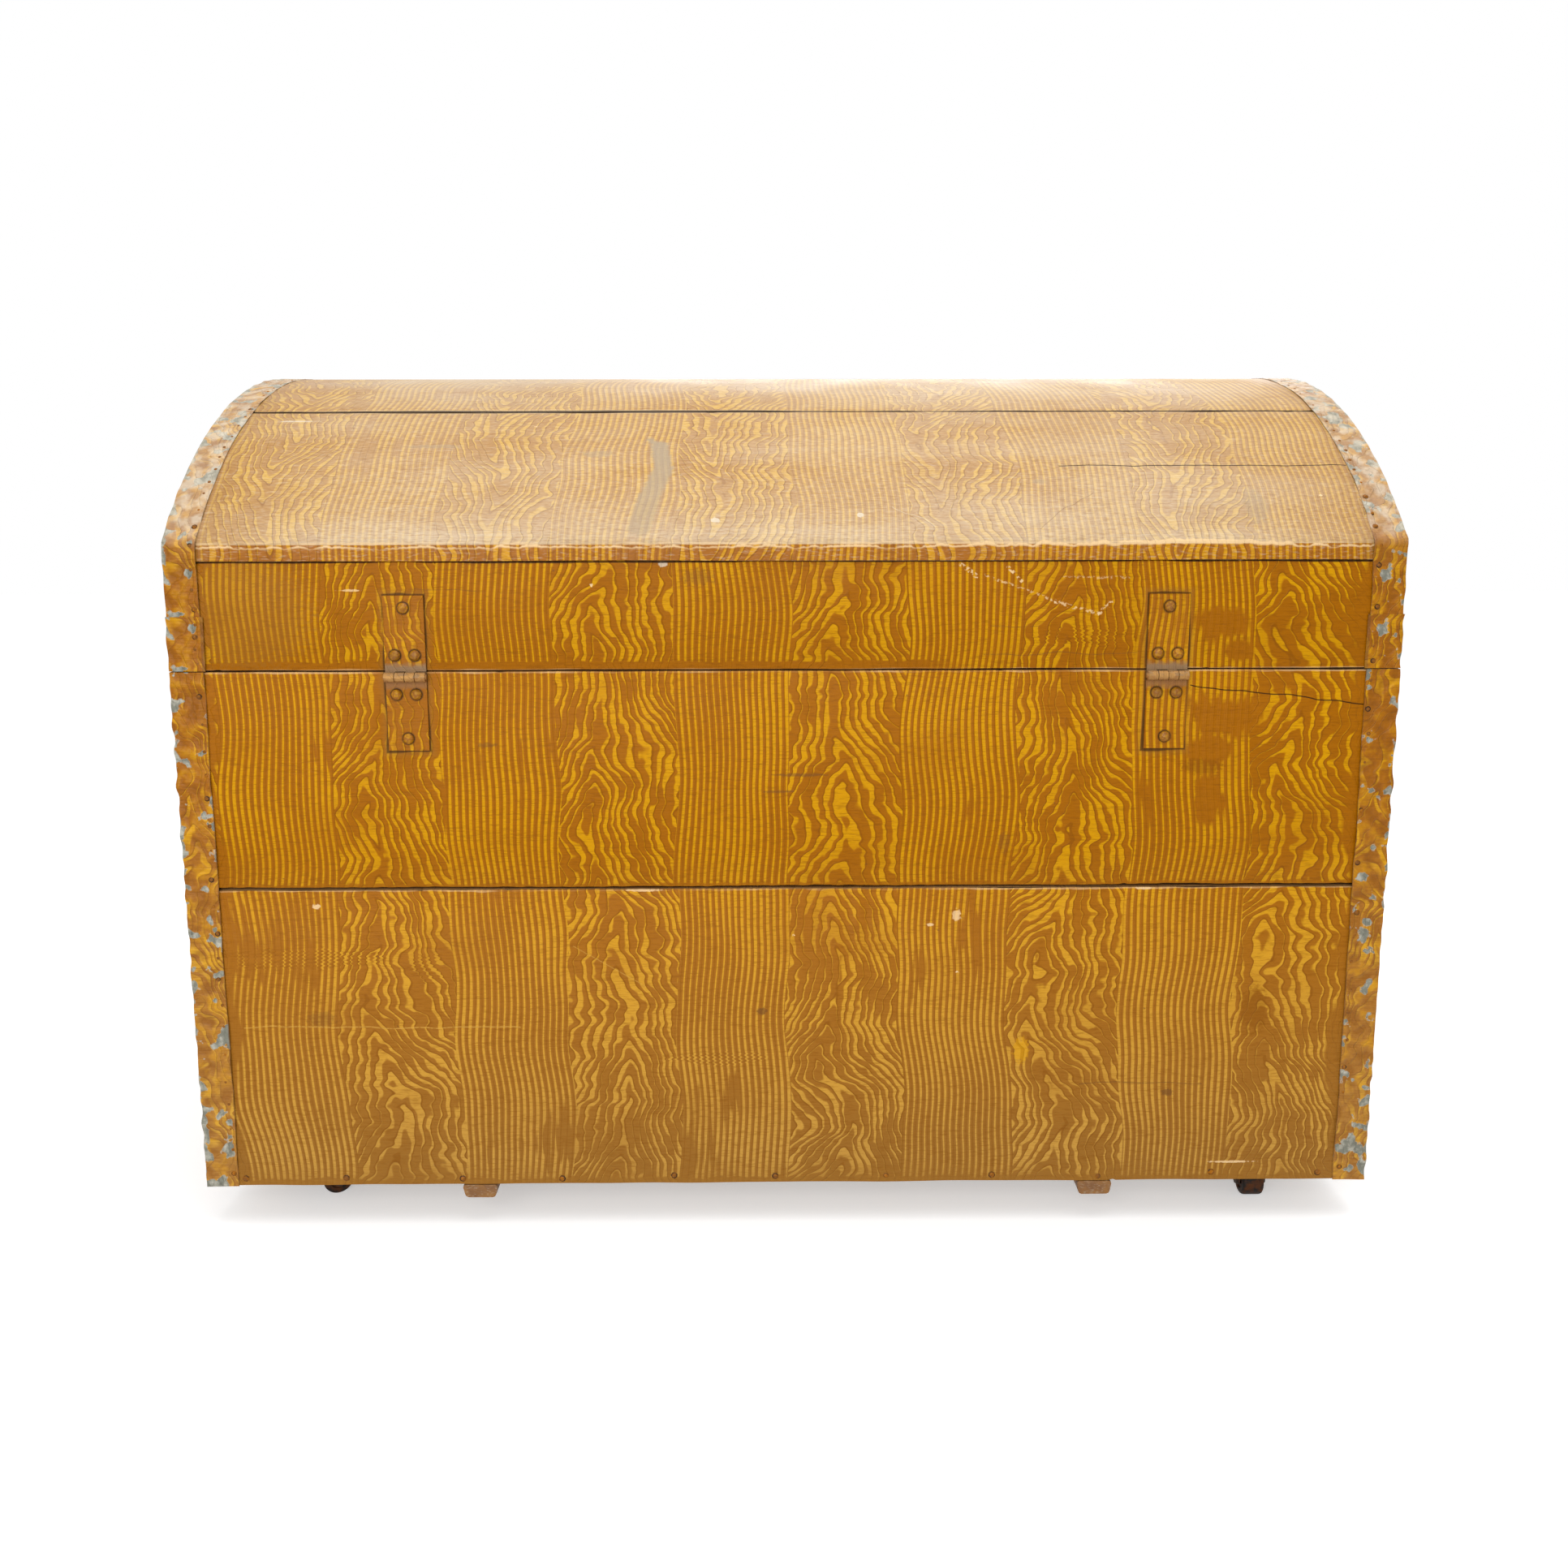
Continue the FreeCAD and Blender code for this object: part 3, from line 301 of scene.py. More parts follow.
class TrunkStage(bpy.types.PropertyGroup):
    camera_x: length("Camera X", 13, "Camera place in the trunk's frame, mm")
    camera_y: length("Camera Y", 1437, "Camera place in the trunk's frame, mm")
    camera_z: length("Camera Z", 643, "Camera place in the trunk's frame, mm")
    pitch: number("Pitch", 9.27, "Camera looks down, degrees")
    yaw: number("Yaw", -0.53, "Camera turns off the middle, degrees")
    roll: number("Roll", -0.09, "Camera tilts, degrees")
    lens: number("Lens", 31.68, "Focal length on a 36 mm sensor, mm")
    shift: number("Shift", -0.0549, "Vertical shift of the lens")
    world_light: number("World", 0.70, "Strength of the even light")
    key_light: number("Key", 58, "Power of the large lamp, W")
    top_light: number("Top", 38, "Power of the lamp overhead, W")


SETTINGS = {
    "trunk_paint": TrunkPaint,
    "trunk_metal": TrunkMetal,
    "trunk_wood": TrunkWood,
    "trunk_fasteners": TrunkFasteners,
    "trunk_stage": TrunkStage,
}


def add_node(tree, kind, *feeds, take=0, **settings):
    """Add a node, set it up, feed its sockets in order (None leaves one alone) and give back its outputs.

    kind is Blender's name for the node, the operation of a Math node, or BLEND for a Mix node that lays
    one colour over another: its feeds are the share, the colour under and the colour over. take is the
    number of the output, a slice of them, or None for the node itself.
    """
    if kind == BLEND:
        # A Mix node has five sockets for other kinds of mix between its factor and its two colours
        kind, take, settings["data_type"] = MIX, 2, "RGBA"
        feeds = (feeds[0], *(None,) * 5, *feeds[1:])
    elif "Node" not in kind:
        kind, settings["operation"] = "ShaderNodeMath", kind
    made = tree.nodes.new(kind)
    for name, value in settings.items():
        setattr(made, name, value)
    for socket, feed in zip(made.inputs, feeds):
        connect(feed, socket)
    return made if take is None else made.outputs[take]


def connect(feed, socket):
    """Link a socket to another node's output, or give it a value; None leaves it alone."""
    if isinstance(feed, bpy.types.NodeSocket):
        socket.id_data.links.new(feed, socket)
    elif feed is not None:
        socket.default_value = feed


def mottle(node, place, across, along, detail=1.0, shift=0.0):
    """Soft noise from 0 to 1 in patches of across by along millimetres; place is in millimetres."""
    scaled = node(VECTOR, place, (1 / across, 1 / along, 1 / along), operation="MULTIPLY")
    moved = node(VECTOR, scaled, (shift, shift * 1.7, shift * 0.6), operation="ADD")
    return node(NOISE, moved, None, 1.0, detail)


def swayed(node, value, place, *waves):
    """A value with soft noise added; each wave is its size across and along, detail, shift and reach."""
    for across, along, detail, shift, reach in waves:
        value = node("MULTIPLY_ADD", mottle(node, place, across, along, detail, shift), reach, value)
    return value


def new_group(name, **sockets):
    """An empty node group with the given float sockets; gives add_node for its tree."""
    tree = bpy.data.node_groups.new(name, "ShaderNodeTree")
    for side, titles in sockets.items():
        for title in titles:
            tree.interface.new_socket(name=title, in_out=side, socket_type="NodeSocketFloat")
    return partial(add_node, tree)


def graining(paint):
    """Node group: glaze pulled down with a comb and a heart-graining tool in turn.

    Across and Along are in millimetres. Stripe is 1 where the base coat shows, Outline is the ridge of
    glaze beside it, and Height is the relief that both leave.
    """
    node = new_group(GRAINING, INPUT=("Across", "Along", "Seed"), OUTPUT=("Stripe", "Outline", "Height"))
    across, along, seed = node("NodeGroupInput", take=slice(3))
    place = node(COMBINE, across, along, node("MULTIPLY", seed, 1000.0))
    pitch, width = paint.comb_pitch, paint.column_width
    # The hand sways as it pulls the tool down, so columns and stripes sway together
    held = swayed(node, across, place, (330, 140, 1.0, 0, 34.0), (26, 34, 1.5, 3, 0.8))
    # Moved so that the columns lie as on the trunk
    start = node("ADD", held, -15.8)
    column = node("DIVIDE", start, width)
    turn = node("FLOORED_MODULO", column, 2.0)
    heart = node("GREATER_THAN", turn, 1.0)
    # Comb: even stripes with a ridge of glaze beside each
    tooth = node("FRACT", node("DIVIDE", start, pitch))
    rise = node(RANGE, tooth, 0.03, 0.18, **SMOOTH)
    narrowing = node(RANGE, mottle(node, place, 55, 130, 1.0, 17), 0.34, 0.62, 0.26, 0.0)
    widened = node("ADD", tooth, narrowing)
    fall = node(RANGE, widened, 0.54, 0.66, 1.0, 0.0, **SMOOTH)
    whole = node("MULTIPLY", rise, fall)
    # A dry comb leaves some stripes out, or breaks them off
    skip = mottle(node, place, 6, 85, 1.0, 19)
    dry = mottle(node, place, 140, 110, 1.0, 23)
    kept = node(RANGE, node("MULTIPLY_ADD", dry, 1.5, skip), 1.58, 1.66, 1.0, 0.0)
    comb_stripe = node("MULTIPLY", whole, kept)
    off_ridge = node("ABSOLUTE", node("SUBTRACT", tooth, 0.74))
    comb_outline = node(RANGE, off_ridge, 0.03, 0.12, 0.55, 0.0, **SMOOTH)
    # Heart grain: upright lines that waver together and close in nested arches here and there
    from_middle = node("MULTIPLY_ADD", node("FRACT", column), width, -0.60 * width)
    leans = ((260, 120, 1.0, 5, 90.0), (110, 21, 1.0, 13, 14.0), (55, 13, 1.0, 25, 9.0))
    middle = node("ADD", swayed(node, from_middle, place, *leans), sum(wave[4] for wave in leans) / -2)
    arch = node("SQRT", node("MULTIPLY_ADD", middle, middle, 7.0))
    # Arches crowd together about once in every pull's length
    spell = node("MULTIPLY", mottle(node, place, 70, 260, 1.0, 15), 9.0)
    crowd = node("SINE", node("MULTIPLY_ADD", along, math.tau / 125, spell))
    rings = node("MULTIPLY_ADD", crowd, 0.55, node("MULTIPLY", along, 1 / 31))
    nested = node("MULTIPLY_ADD", arch, 1 / paint.heart_pitch, rings)
    wandered = swayed(node, nested, place, (44, 70, 1.0, 7, 2.0), (12, 13, 1.0, 9, 0.45))
    stage = node("FRACT", wandered)
    soft = node(RANGE, mottle(node, place, 13, 34, 1.0, 11), 0.34, 0.66, 0.0, 0.60)
    grow = node("SUBTRACT", stage, soft)
    full = node(RANGE, grow, 0.0, 0.16, **SMOOTH)
    cut = node(RANGE, stage, 0.70, 0.74, 1.0, 0.0, **SMOOTH)
    heart_stripe = node("MULTIPLY", full, cut)
    off_cut = node("ABSOLUTE", node("SUBTRACT", stage, 0.775))
    heart_outline = node(RANGE, off_cut, 0.02, 0.09, 0.8, 0.0, **SMOOTH)
    stripe = node(MIX, heart, None, comb_stripe, heart_stripe)
    outline = node(MIX, heart, None, comb_outline, heart_outline)
    relief = node("MULTIPLY_ADD", stripe, -0.6, outline)
    node("NodeGroupOutput", stripe, outline, relief, take=None)


def new_material(name):
    """An empty node material.

    Gives add_node for its tree and the Object coordinate in millimetres, whole and as X, Y and Z.
    """
    material = bpy.data.materials.new(name)
    material.use_nodes = True
    material.node_tree.nodes.clear()
    node = partial(add_node, material.node_tree)
    metres = node("ShaderNodeTexCoord", take=3)
    place = node(VECTOR, metres, (1000.0,) * 3, operation="MULTIPLY")
    return node, place, *node(SEPARATE, place, take=slice(3))


def set_surface(node, height=None, depth=0.0, **surface):
    """The material's shader: its feeds, named with _ for a space, and relief depth millimetres high."""
    shader = node("ShaderNodeBsdfPrincipled", take=None)
    node("ShaderNodeOutputMaterial", shader.outputs[0], take=None)
    if height:
        bump = node("ShaderNodeBump", take=None)
        connect(depth * MM, bump.inputs["Distance"])
        connect(height, bump.inputs["Height"])
        surface["Normal"] = bump.outputs[0]
    for title, feed in surface.items():
        connect(feed, shader.inputs[title.replace("_", " ")])


def grained_colour(node, paint, aged, feeds, age, plain=None, coarse=1.0):
    """Colour and relief of the graining.

    feeds are across, along and seed; age goes from 0 to 1 between the fresh colours and those whose
    names begin with aged; plain is 1 where the glaze was left uncombed.
    """
    group = bpy.data.node_groups[GRAINING]
    stripe, outline, relief = node("ShaderNodeGroup", *feeds, node_tree=group, take=slice(3))
    place = node(COMBINE, *feeds)
    brush = mottle(node, place, 42, paint.brush_line * coarse, 2.0, 2)
    worn = node(RANGE, mottle(node, place, 80, 50, 2.5, 4), 0.28, 0.50, 0.65, 1.0)
    shown = node("MULTIPLY", worn, node(RANGE, brush, 0.30, 0.52, 0.55, 1.0))
    striped = node("MULTIPLY", stripe, shown)
    if plain:
        left = node("SUBTRACT", 1.0, plain)
        striped = node("MULTIPLY", striped, left)
        outline = node("MULTIPLY", outline, left)
    ground = node(BLEND, age, paint.ground, getattr(paint, f"{aged}_ground"))
    yellow = node(BLEND, age, paint.stripe, getattr(paint, f"{aged}_stripe"))
    painted = node(BLEND, striped, ground, yellow)
    drawn = node(BLEND, node("MULTIPLY", outline, 0.58), painted, paint.outline)
    toned = node(BLEND, node(RANGE, brush, 0.38, 0.80, 0.0, 0.30), drawn, paint.outline)
    # Short dashes that the brush's hairs left across the comb's stripes
    pores = mottle(node, place, 8, 1.2, 2.5, 6)
    pored = node(BLEND, node(RANGE, pores, 0.50, 0.68, 0.0, 0.42), toned, paint.outline)
    return pored, node("MULTIPLY_ADD", pores, -1.3, node("MULTIPLY_ADD", brush, -0.9, relief))


def along_mark(node, place, start, stop, half_width, fade=0.3):
    """1 on a straight mark between two flat points, in millimetres, its edges fading over twice fade."""
    start, run = Vector(start).to_3d(), (Vector(stop) - Vector(start)).to_3d()
    off = node(VECTOR, place, start, operation="SUBTRACT")
    share = node(VECTOR, off, run / run.length_squared, operation="DOT_PRODUCT", take=1)
    gap = node(VECTOR, node("ADD", share, 0.0, use_clamp=True), -run, off, operation="MULTIPLY_ADD")
    far = node(VECTOR, gap, operation="LENGTH", take=1)
    return node(RANGE, far, half_width - fade, half_width + fade, 1.0, 0.0)


def round_mark(node, place, middle, half, rough):
    """1 inside a ragged oval about a flat middle, half wide and half high, in millimetres."""
    off = node(VECTOR, place, (*middle, 0.0), operation="SUBTRACT")
    scaled = node(VECTOR, off, (1 / half[0], 1 / half[1], 0.0), operation="MULTIPLY")
    ragged = node("MULTIPLY_ADD", rough, 1.6, node(VECTOR, scaled, operation="LENGTH", take=1))
    return node(RANGE, ragged, 1.55, 1.85, 1.0, 0.0)


def shaken_place(node, place, noise_feed, sway):
    """A flat place moved about by noise, by half of sway either way, in millimetres."""
    centred = node(VECTOR, place, [-reach / 2 for reach in sway], operation="ADD")
    return node(VECTOR, noise_feed, sway, centred, operation="MULTIPLY_ADD")


def lay(node, paint, under, tone, mark, *shares):
    """A colour of the paint laid over another on a mark, by the product of the shares."""
    for share in shares:
        mark = node("MULTIPLY", mark, share)
    return node(BLEND, mark, under, getattr(paint, tone))


def pine_colour(node, wood, place):
    """Colour and relief of bare pine whose grain runs along the place's first axis."""
    bands = mottle(node, place, 520, 7, 2.5, 1)
    fibres = mottle(node, place, 60, 0.8, 2.0, 2)
    both = node("MULTIPLY_ADD", fibres, 0.5, node(RANGE, bands, 0.42, 0.60, 0.0, 0.75))
    return node(BLEND, node(RANGE, both, 0.15, 1.15), wood.pine, wood.pine_dark), fibres


def speckle(node, place, spacing, share, shift):
    """Scattered flecks: 1 inside a fleck; share is how far a fleck reaches, in parts of the spacing."""
    warp = node(NOISE, place, None, 0.35, 2.0)
    bent = node(VECTOR, warp, (5.0, 5.0, 5.0), place, operation="MULTIPLY_ADD")
    scaled = node(VECTOR, bent, (1 / spacing,) * 3, operation="MULTIPLY")
    gap = node(CELLS, node(VECTOR, scaled, (shift,) * 3, operation="ADD"), None, 1.0)
    return node(RANGE, gap, share * 0.6, share, 1.0, 0.0, **SMOOTH)


def wear(node, paint, toned, place, pale_spacing=85, dark_spacing=34):
    """Pale chips and dark grime spots over a painted colour."""
    chipped = node(BLEND, speckle(node, place, pale_spacing, 0.020, 2.3), toned, paint.splinter)
    dark = speckle(node, place, dark_spacing, 0.030, 7.1)
    return node(BLEND, node("MULTIPLY", dark, 0.6), chipped, paint.grime)


def paint_roughness(node, place):
    """Old oil paint: half gloss, duller in patches."""
    return node(RANGE, mottle(node, place, 70, 55, 3.0, 6), 0.3, 0.7, 0.33, 0.52)


def flat_paint(name, paint, wood, along_y=False):
    """Comb-grained oil paint on flat pine boards: half gloss, with brush lines, and bare pine inside."""
    node, place, x, y, z = new_material(name)
    across, outward, face = (y, x, HALF_WIDTH) if along_y else (x, y, HALF_DEPTH)
    front = node("LESS_THAN", outward, 0.0)
    lower = node("LESS_THAN", z, BOARD_JOINT / MM)
    seed = node("MULTIPLY_ADD", front, 31.0, 4.0 if along_y else 0.0)
    seeded = node("MULTIPLY_ADD", lower, 7.0, seed)
    dull = node(RANGE, z, 60.0, 330.0, 1.0, 0.0)
    # The comb stops short of the lid's lower edge, and of the strips at some places
    reach = node("ABSOLUTE", across)
    strip_edge = ((HALF_DEPTH if along_y else HALF_WIDTH) - STRIP_WIDTH) / MM
    patch = mottle(node, place, 40, 60, 2.0, 8)
    short = node("MULTIPLY_ADD", patch, -9.0, z)
    over_seam = node(RANGE, short, LID_BOTTOM / MM + 2, LID_BOTTOM / MM + 3, 1.0, 0.0)
    in_lid = node("GREATER_THAN", z, (LID_BOTTOM + BODY_TOP) / 2 / MM)
    seam_band = node("MULTIPLY", over_seam, in_lid)
    close = node("MULTIPLY_ADD", patch, 44.0, reach)
    beside = node(RANGE, close, strip_edge + 14, strip_edge + 18)
    if not along_y:
        seam_band = node("MULTIPLY", seam_band, node(RANGE, x, -150.0, -110.0))
    plain = node("MAXIMUM", seam_band, beside)
    frayed = mottle(node, place, 14, 60, 2.0, 51)
    for edge, margin in ((BOARD_BOTTOM, 10.0), (BOARD_JOINT, 7.0)):
        over_edge = node("SUBTRACT", z, edge / MM)
        above = node("GREATER_THAN", over_edge, 0.0)
        near = node(RANGE, node("MULTIPLY_ADD", frayed, -margin, over_edge), 0.0, 1.2, 0.85, 0.0)
        plain = node("MAXIMUM", plain, node("MULTIPLY", near, above))
    if not along_y:
        flat, back = node(COMBINE, x, z, 0.0), node("GREATER_THAN", y, 0.0)
        plain = left_uncombed(node, plain, flat, back)
        across = chattered(node, x, z, flat, back)
    feeds = (across, z, seeded)
    toned, height = grained_colour(node, paint, "dull", feeds, dull, plain)
    # Grime gathers along the bottom
    low = node("MULTIPLY_ADD", patch, -26.0, z)
    under = node(RANGE, low, BOARD_BOTTOM / MM - 12, BOARD_BOTTOM / MM + 8, 0.5, 0.0)
    dirt_and_shade = node(BLEND, under, toned, paint.dull_ground)
    cleft = 0.0
    if not along_y:
        dirt_and_shade = hinge_grime_and_shade(node, paint, dirt_and_shade, x, y, z, patch)
        dirt_and_shade, cleft = back_marks(node, paint, dirt_and_shade, flat, back)
    marked = wear(node, paint, dirt_and_shade, place)
    joints = [(BOARD_JOINT, 1.15)] if along_y else [(BOARD_JOINT, 1.15), (RAIL_TOP, 0.8)]
    rubbed = seam_rub_and_shade(node, paint, marked, place, z, joints)
    painted = node(RANGE, node("ABSOLUTE", outward), face / MM - 2.4, face / MM - 1.7)
    swap = node(COMBINE, y if along_y else x, x if along_y else y, z)
    shown = node(BLEND, painted, pine_colour(node, wood, swap)[0], rubbed)
    sunk = node("MULTIPLY_ADD", cleft, -5.0, height)
    rough = paint_roughness(node, place)
    set_surface(node, sunk, 0.22, Base_Color=shown, Roughness=rough, Specular_IOR_Level=0.08)


def chattered(node, x, z, flat, back):
    """The distance across the back, stepping to and fro where the comb chattered."""
    rough = mottle(node, flat, 12, 8, 2.0, 35)
    reach = node("MULTIPLY", node("SINE", node("MULTIPLY", z, math.tau / CHATTER_PITCH)), back)
    for middle, half in CHATTER:
        shift = node("MULTIPLY", round_mark(node, flat, middle, half, rough), 0.75)
        x = node("MULTIPLY_ADD", reach, shift, x)
    return x


def left_uncombed(node, plain, flat, back):
    """Adds the places on the back where the comb wasn't pulled."""
    rough = mottle(node, flat, 9, 26, 2.0, 31)
    for middle, half in BARE_OF_COMB:
        here = node("MULTIPLY", round_mark(node, flat, middle, half, rough), back)
        plain = node("MAXIMUM", plain, here)
    return plain


def seam_rub_and_shade(node, paint, under, place, z, joints):
    """Paint rubbed pale beside the lid's seam and the boards' joint, the pale also a painted highlight of
    the edges, and dark lines of old dirt and painted shade along them.
    """
    rough = mottle(node, place, 22, 9, 3.0, 14)
    gape = mottle(node, place, 70, 400, 3.0, 15)
    broken = node(RANGE, gape, 0.42, 0.54, 0.25, 1.3)
    shown = under
    seam = (BODY_TOP + LID_BOTTOM) / 2
    for edge, reach, share in ((BODY_TOP, -1.9, 0.35), (LID_BOTTOM, 1.4, 0.25), (BOARD_JOINT, -2.8, 0.3)):
        signed = node("MULTIPLY", node("SUBTRACT", z, edge / MM), 1 / reach)
        inside = node(RANGE, node("MULTIPLY_ADD", rough, 1.5, signed), 1.45, 1.7, share, 0.0)
        rub = node("MULTIPLY", node("MULTIPLY", inside, node("GREATER_THAN", signed, 0.0)), broken)
        shown = node(BLEND, rub, shown, paint.splinter)
    # The dark lines, old dirt and painted shade in the gaps, gape and close along their run
    for height, half in ((seam, 0.3), *joints):
        wide = node("MULTIPLY_ADD", gape, -3.2, node("ABSOLUTE", node("SUBTRACT", z, height / MM)))
        dark = node(RANGE, wide, half - 1.9, half - 1.4, 0.92, 0.0)
        shown = node(BLEND, dark, shown, paint.crack)
    return shown


def back_marks(node, paint, shown, flat, back):
    """The marks that years have left on the back; gives the colour and the depth of the clefts."""
    rough = node(NOISE, flat, None, 0.35, 3.0)
    bent = shaken_place(node, flat, node(NOISE, flat, None, 0.035, 1.5), (0.0, 5.0, 0.0))
    chipped = shaken_place(node, bent, rough, (7.0, 7.0, 0.0))
    for middle, half, tone, share in BACK_SPOTS:
        mark = round_mark(node, flat, middle, half, rough)
        shown = lay(node, paint, shown, tone, mark, share, back)
    for start, stop, half, tone, share in BACK_LINES:
        if tone == "splinter":
            line = along_mark(node, chipped, start, stop, half * 1.7)
            broken = node(RANGE, rough, 0.48, 0.54, 0.0, share)
        else:
            line = along_mark(node, bent, start, stop, half)
            broken = node(RANGE, rough, 0.40, 0.46, share * 0.35, share)
        shown = lay(node, paint, shown, tone, line, broken, back)
    cleft = node("MULTIPLY", along_mark(node, bent, *CRACK, 0.3), back)
    return lay(node, paint, shown, "crack", cleft), cleft


def hinge_grime_and_shade(node, paint, under, x, y, z, patch):
    """A dull margin round both strap hinges on the back, and a dark outline at the leaves' edges that is
    dirt and painted shade.
    """
    low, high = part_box("hinge_body_leaf_right")[0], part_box("hinge_lid_leaf_right")[1]
    off_x = node("ABSOLUTE", node("SUBTRACT", node("ABSOLUTE", x), HINGE_X / MM))
    out_x = node("SUBTRACT", off_x, (high.x - low.x) / 2 / MM)
    off_z = node("ABSOLUTE", node("SUBTRACT", z, (low.z + high.z) / 2 / MM))
    out = node("MAXIMUM", out_x, node("SUBTRACT", off_z, (high.z - low.z) / 2 / MM))
    front = node("LESS_THAN", y, 0.0)
    ragged = node("MULTIPLY_ADD", patch, -7.0, node("MULTIPLY_ADD", front, 100.0, out))
    wide = node(RANGE, ragged, -3.6, 3.0, 0.55, 0.0)
    # The dark outline at the leaves' edges is painted shade as well as dirt
    edge_shade = node(RANGE, ragged, -2.6, -1.4, 0.8, 0.0)
    return node(BLEND, edge_shade, node(BLEND, wide, under, paint.dull_ground), paint.rut_dirt_and_shade)


def dome_paint(name, paint, wood):
    """The same paint on the dome, faded and bloomed, which also paints the sheen of light on it, with raw
    wood where the edges have splintered.
    """
    node, place, x, y, z = new_material(name)
    radius, centre = dome_circle(wood)
    above = node("SUBTRACT", z, centre / MM)
    arc = node("MULTIPLY", node("ARCTAN2", y, above), radius / MM)
    place_arc = node(COMBINE, x, arc, z)
    edge_arc = radius * math.asin(HALF_DEPTH / radius) / MM
    off = node("ABSOLUTE", arc)
    sawn = node(RANGE, node("ABSOLUTE", y), HALF_DEPTH / MM - 3.4, HALF_DEPTH / MM - 2.4)
    sawn_face = node("MULTIPLY", sawn, node("LESS_THAN", z, wood.dome_edge - 1.6))
    faded_and_sheen = node("SUBTRACT", 1.0, sawn_face)
    feeds = (node("ADD", x, paint.column_width), arc, 17.0)
    toned, height = grained_colour(node, paint, "dome", feeds, faded_and_sheen)
    patch = mottle(node, place, 30, 60, 2.0, 8)
    reach = node("ABSOLUTE", x)
    near = node("MULTIPLY_ADD", patch, 22.0, reach)
    strip_edge = (HALF_WIDTH - STRIP_WIDTH) / MM
    beside = node(RANGE, near, strip_edge - 8, strip_edge + 14, 0.0, 0.6)
    dirt_and_shade = node(BLEND, beside, toned, paint.dull_ground)
    # Bloom lies in streaks along the boards, thickest on the crest and at the lower edges; it is dusty
    # varnish and also a painted sheen of the light on the dome
    cloud = mottle(node, place_arc, 210, 70, 2.0, 21)
    streak = mottle(node, place_arc, 90, 1.3, 2.0, 22)
    crest = node(RANGE, off, 0.0, edge_arc * 0.5, 0.42, 0.0)
    thick = node("ADD", crest, node(RANGE, off, edge_arc - 85, edge_arc, 0.0, 0.30))
    both = node("ADD", thick, node(RANGE, cloud, 0.34, 0.68, 0.10, 0.36))
    lined = node(RANGE, streak, 0.32, 0.62, 0.70, 1.0)
    ends = node(RANGE, reach, strip_edge - 110, strip_edge - 10, 1.0, 0.35)
    spread = node("MULTIPLY", both, ends)
    bloom_and_sheen = node("MULTIPLY", node("MULTIPLY", spread, lined), faded_and_sheen, use_clamp=True)
    gritty = grit(node, paint, node(BLEND, bloom_and_sheen, dirt_and_shade, paint.bloom), place_arc)
    marked = wear(node, paint, gritty, place_arc, 90, 45)
    marked, cleft = dome_marks(node, paint, marked, x, arc)
    marked = open_joint(node, paint, marked, place, x, y, off, edge_arc / 2)
    # Raw, splintered wood along the front and back edges; the pale lip is also a painted highlight of the
    # edge
    splinter = mottle(node, place, 14, 400, 3.0, 12)
    where = node(RANGE, x, -330.0, -120.0, 5.0, 0.0)
    spread = node("ADD", where, node(RANGE, x, -420.0, -350.0, -5.0, 0.0))
    ragged = node("MULTIPLY_ADD", splinter, 11.0, spread)
    torn = node(RANGE, node("ADD", ragged, off), edge_arc + 6.9, edge_arc + 8.0, 0.0, 0.9)
    along_edge = mottle(node, place, 11, 400, 3.0, 27)
    off_lip = node("ABSOLUTE", node("SUBTRACT", off, edge_arc))
    thinner = node("MULTIPLY_ADD", along_edge, 0.9, off_lip)
    lip_wear_and_highlight = node(RANGE, mottle(node, place, 34, 400, 2.0, 28), 0.40, 0.56, 0.15, 0.55)
    rim = node("MULTIPLY", node(RANGE, thinner, 0.8, 1.7, 1.0, 0.0), lip_wear_and_highlight)
    raw = node("MAXIMUM", torn, rim)
    depth = node("MULTIPLY_ADD", ragged, -0.55, z)
    lowest = node(RANGE, depth, wood.dome_edge - 8.0, wood.dome_edge - 6.6)
    bare_edge = node("MULTIPLY", raw, lowest)
    # Painted shade in the gap under the boards' lower edge, above the rail
    under_edge_shade = node(RANGE, node("SUBTRACT", z, RAIL_TOP / MM), 0.4, 1.2, 0.92, 0.0)
    splintered = node(BLEND, bare_edge, marked, paint.splinter)
    chipped = node(BLEND, under_edge_shade, splintered, paint.crack)
    # Underneath the boards stay bare
    from_centre = node("SQRT", node("MULTIPLY_ADD", above, above, node("MULTIPLY", y, y)))
    deep = node(RANGE, from_centre, radius / MM - 3.4, radius / MM - 2.2)
    painted = node("MAXIMUM", deep, sawn)
    shown = node(BLEND, painted, pine_colour(node, wood, place_arc)[0], chipped)
    sunk = node("MULTIPLY_ADD", cleft, -5.0, height)
    rough = paint_roughness(node, place_arc)
    set_surface(node, sunk, 0.22, Base_Color=shown, Roughness=rough, Specular_IOR_Level=0.2)


def grit(node, paint, under, place):
    """Fine unevenness of old varnish: small darker and paler flecks drawn out along the boards."""
    fine = mottle(node, place, 6, 1.8, 3.0, 41)
    dark = node(RANGE, fine, 0.52, 0.70, 0.0, 0.30)
    pale = node(RANGE, fine, 0.46, 0.30, 0.0, 0.22)
    darker = node(BLEND, dark, under, paint.outline)
    return node(BLEND, pale, darker, paint.bloom)


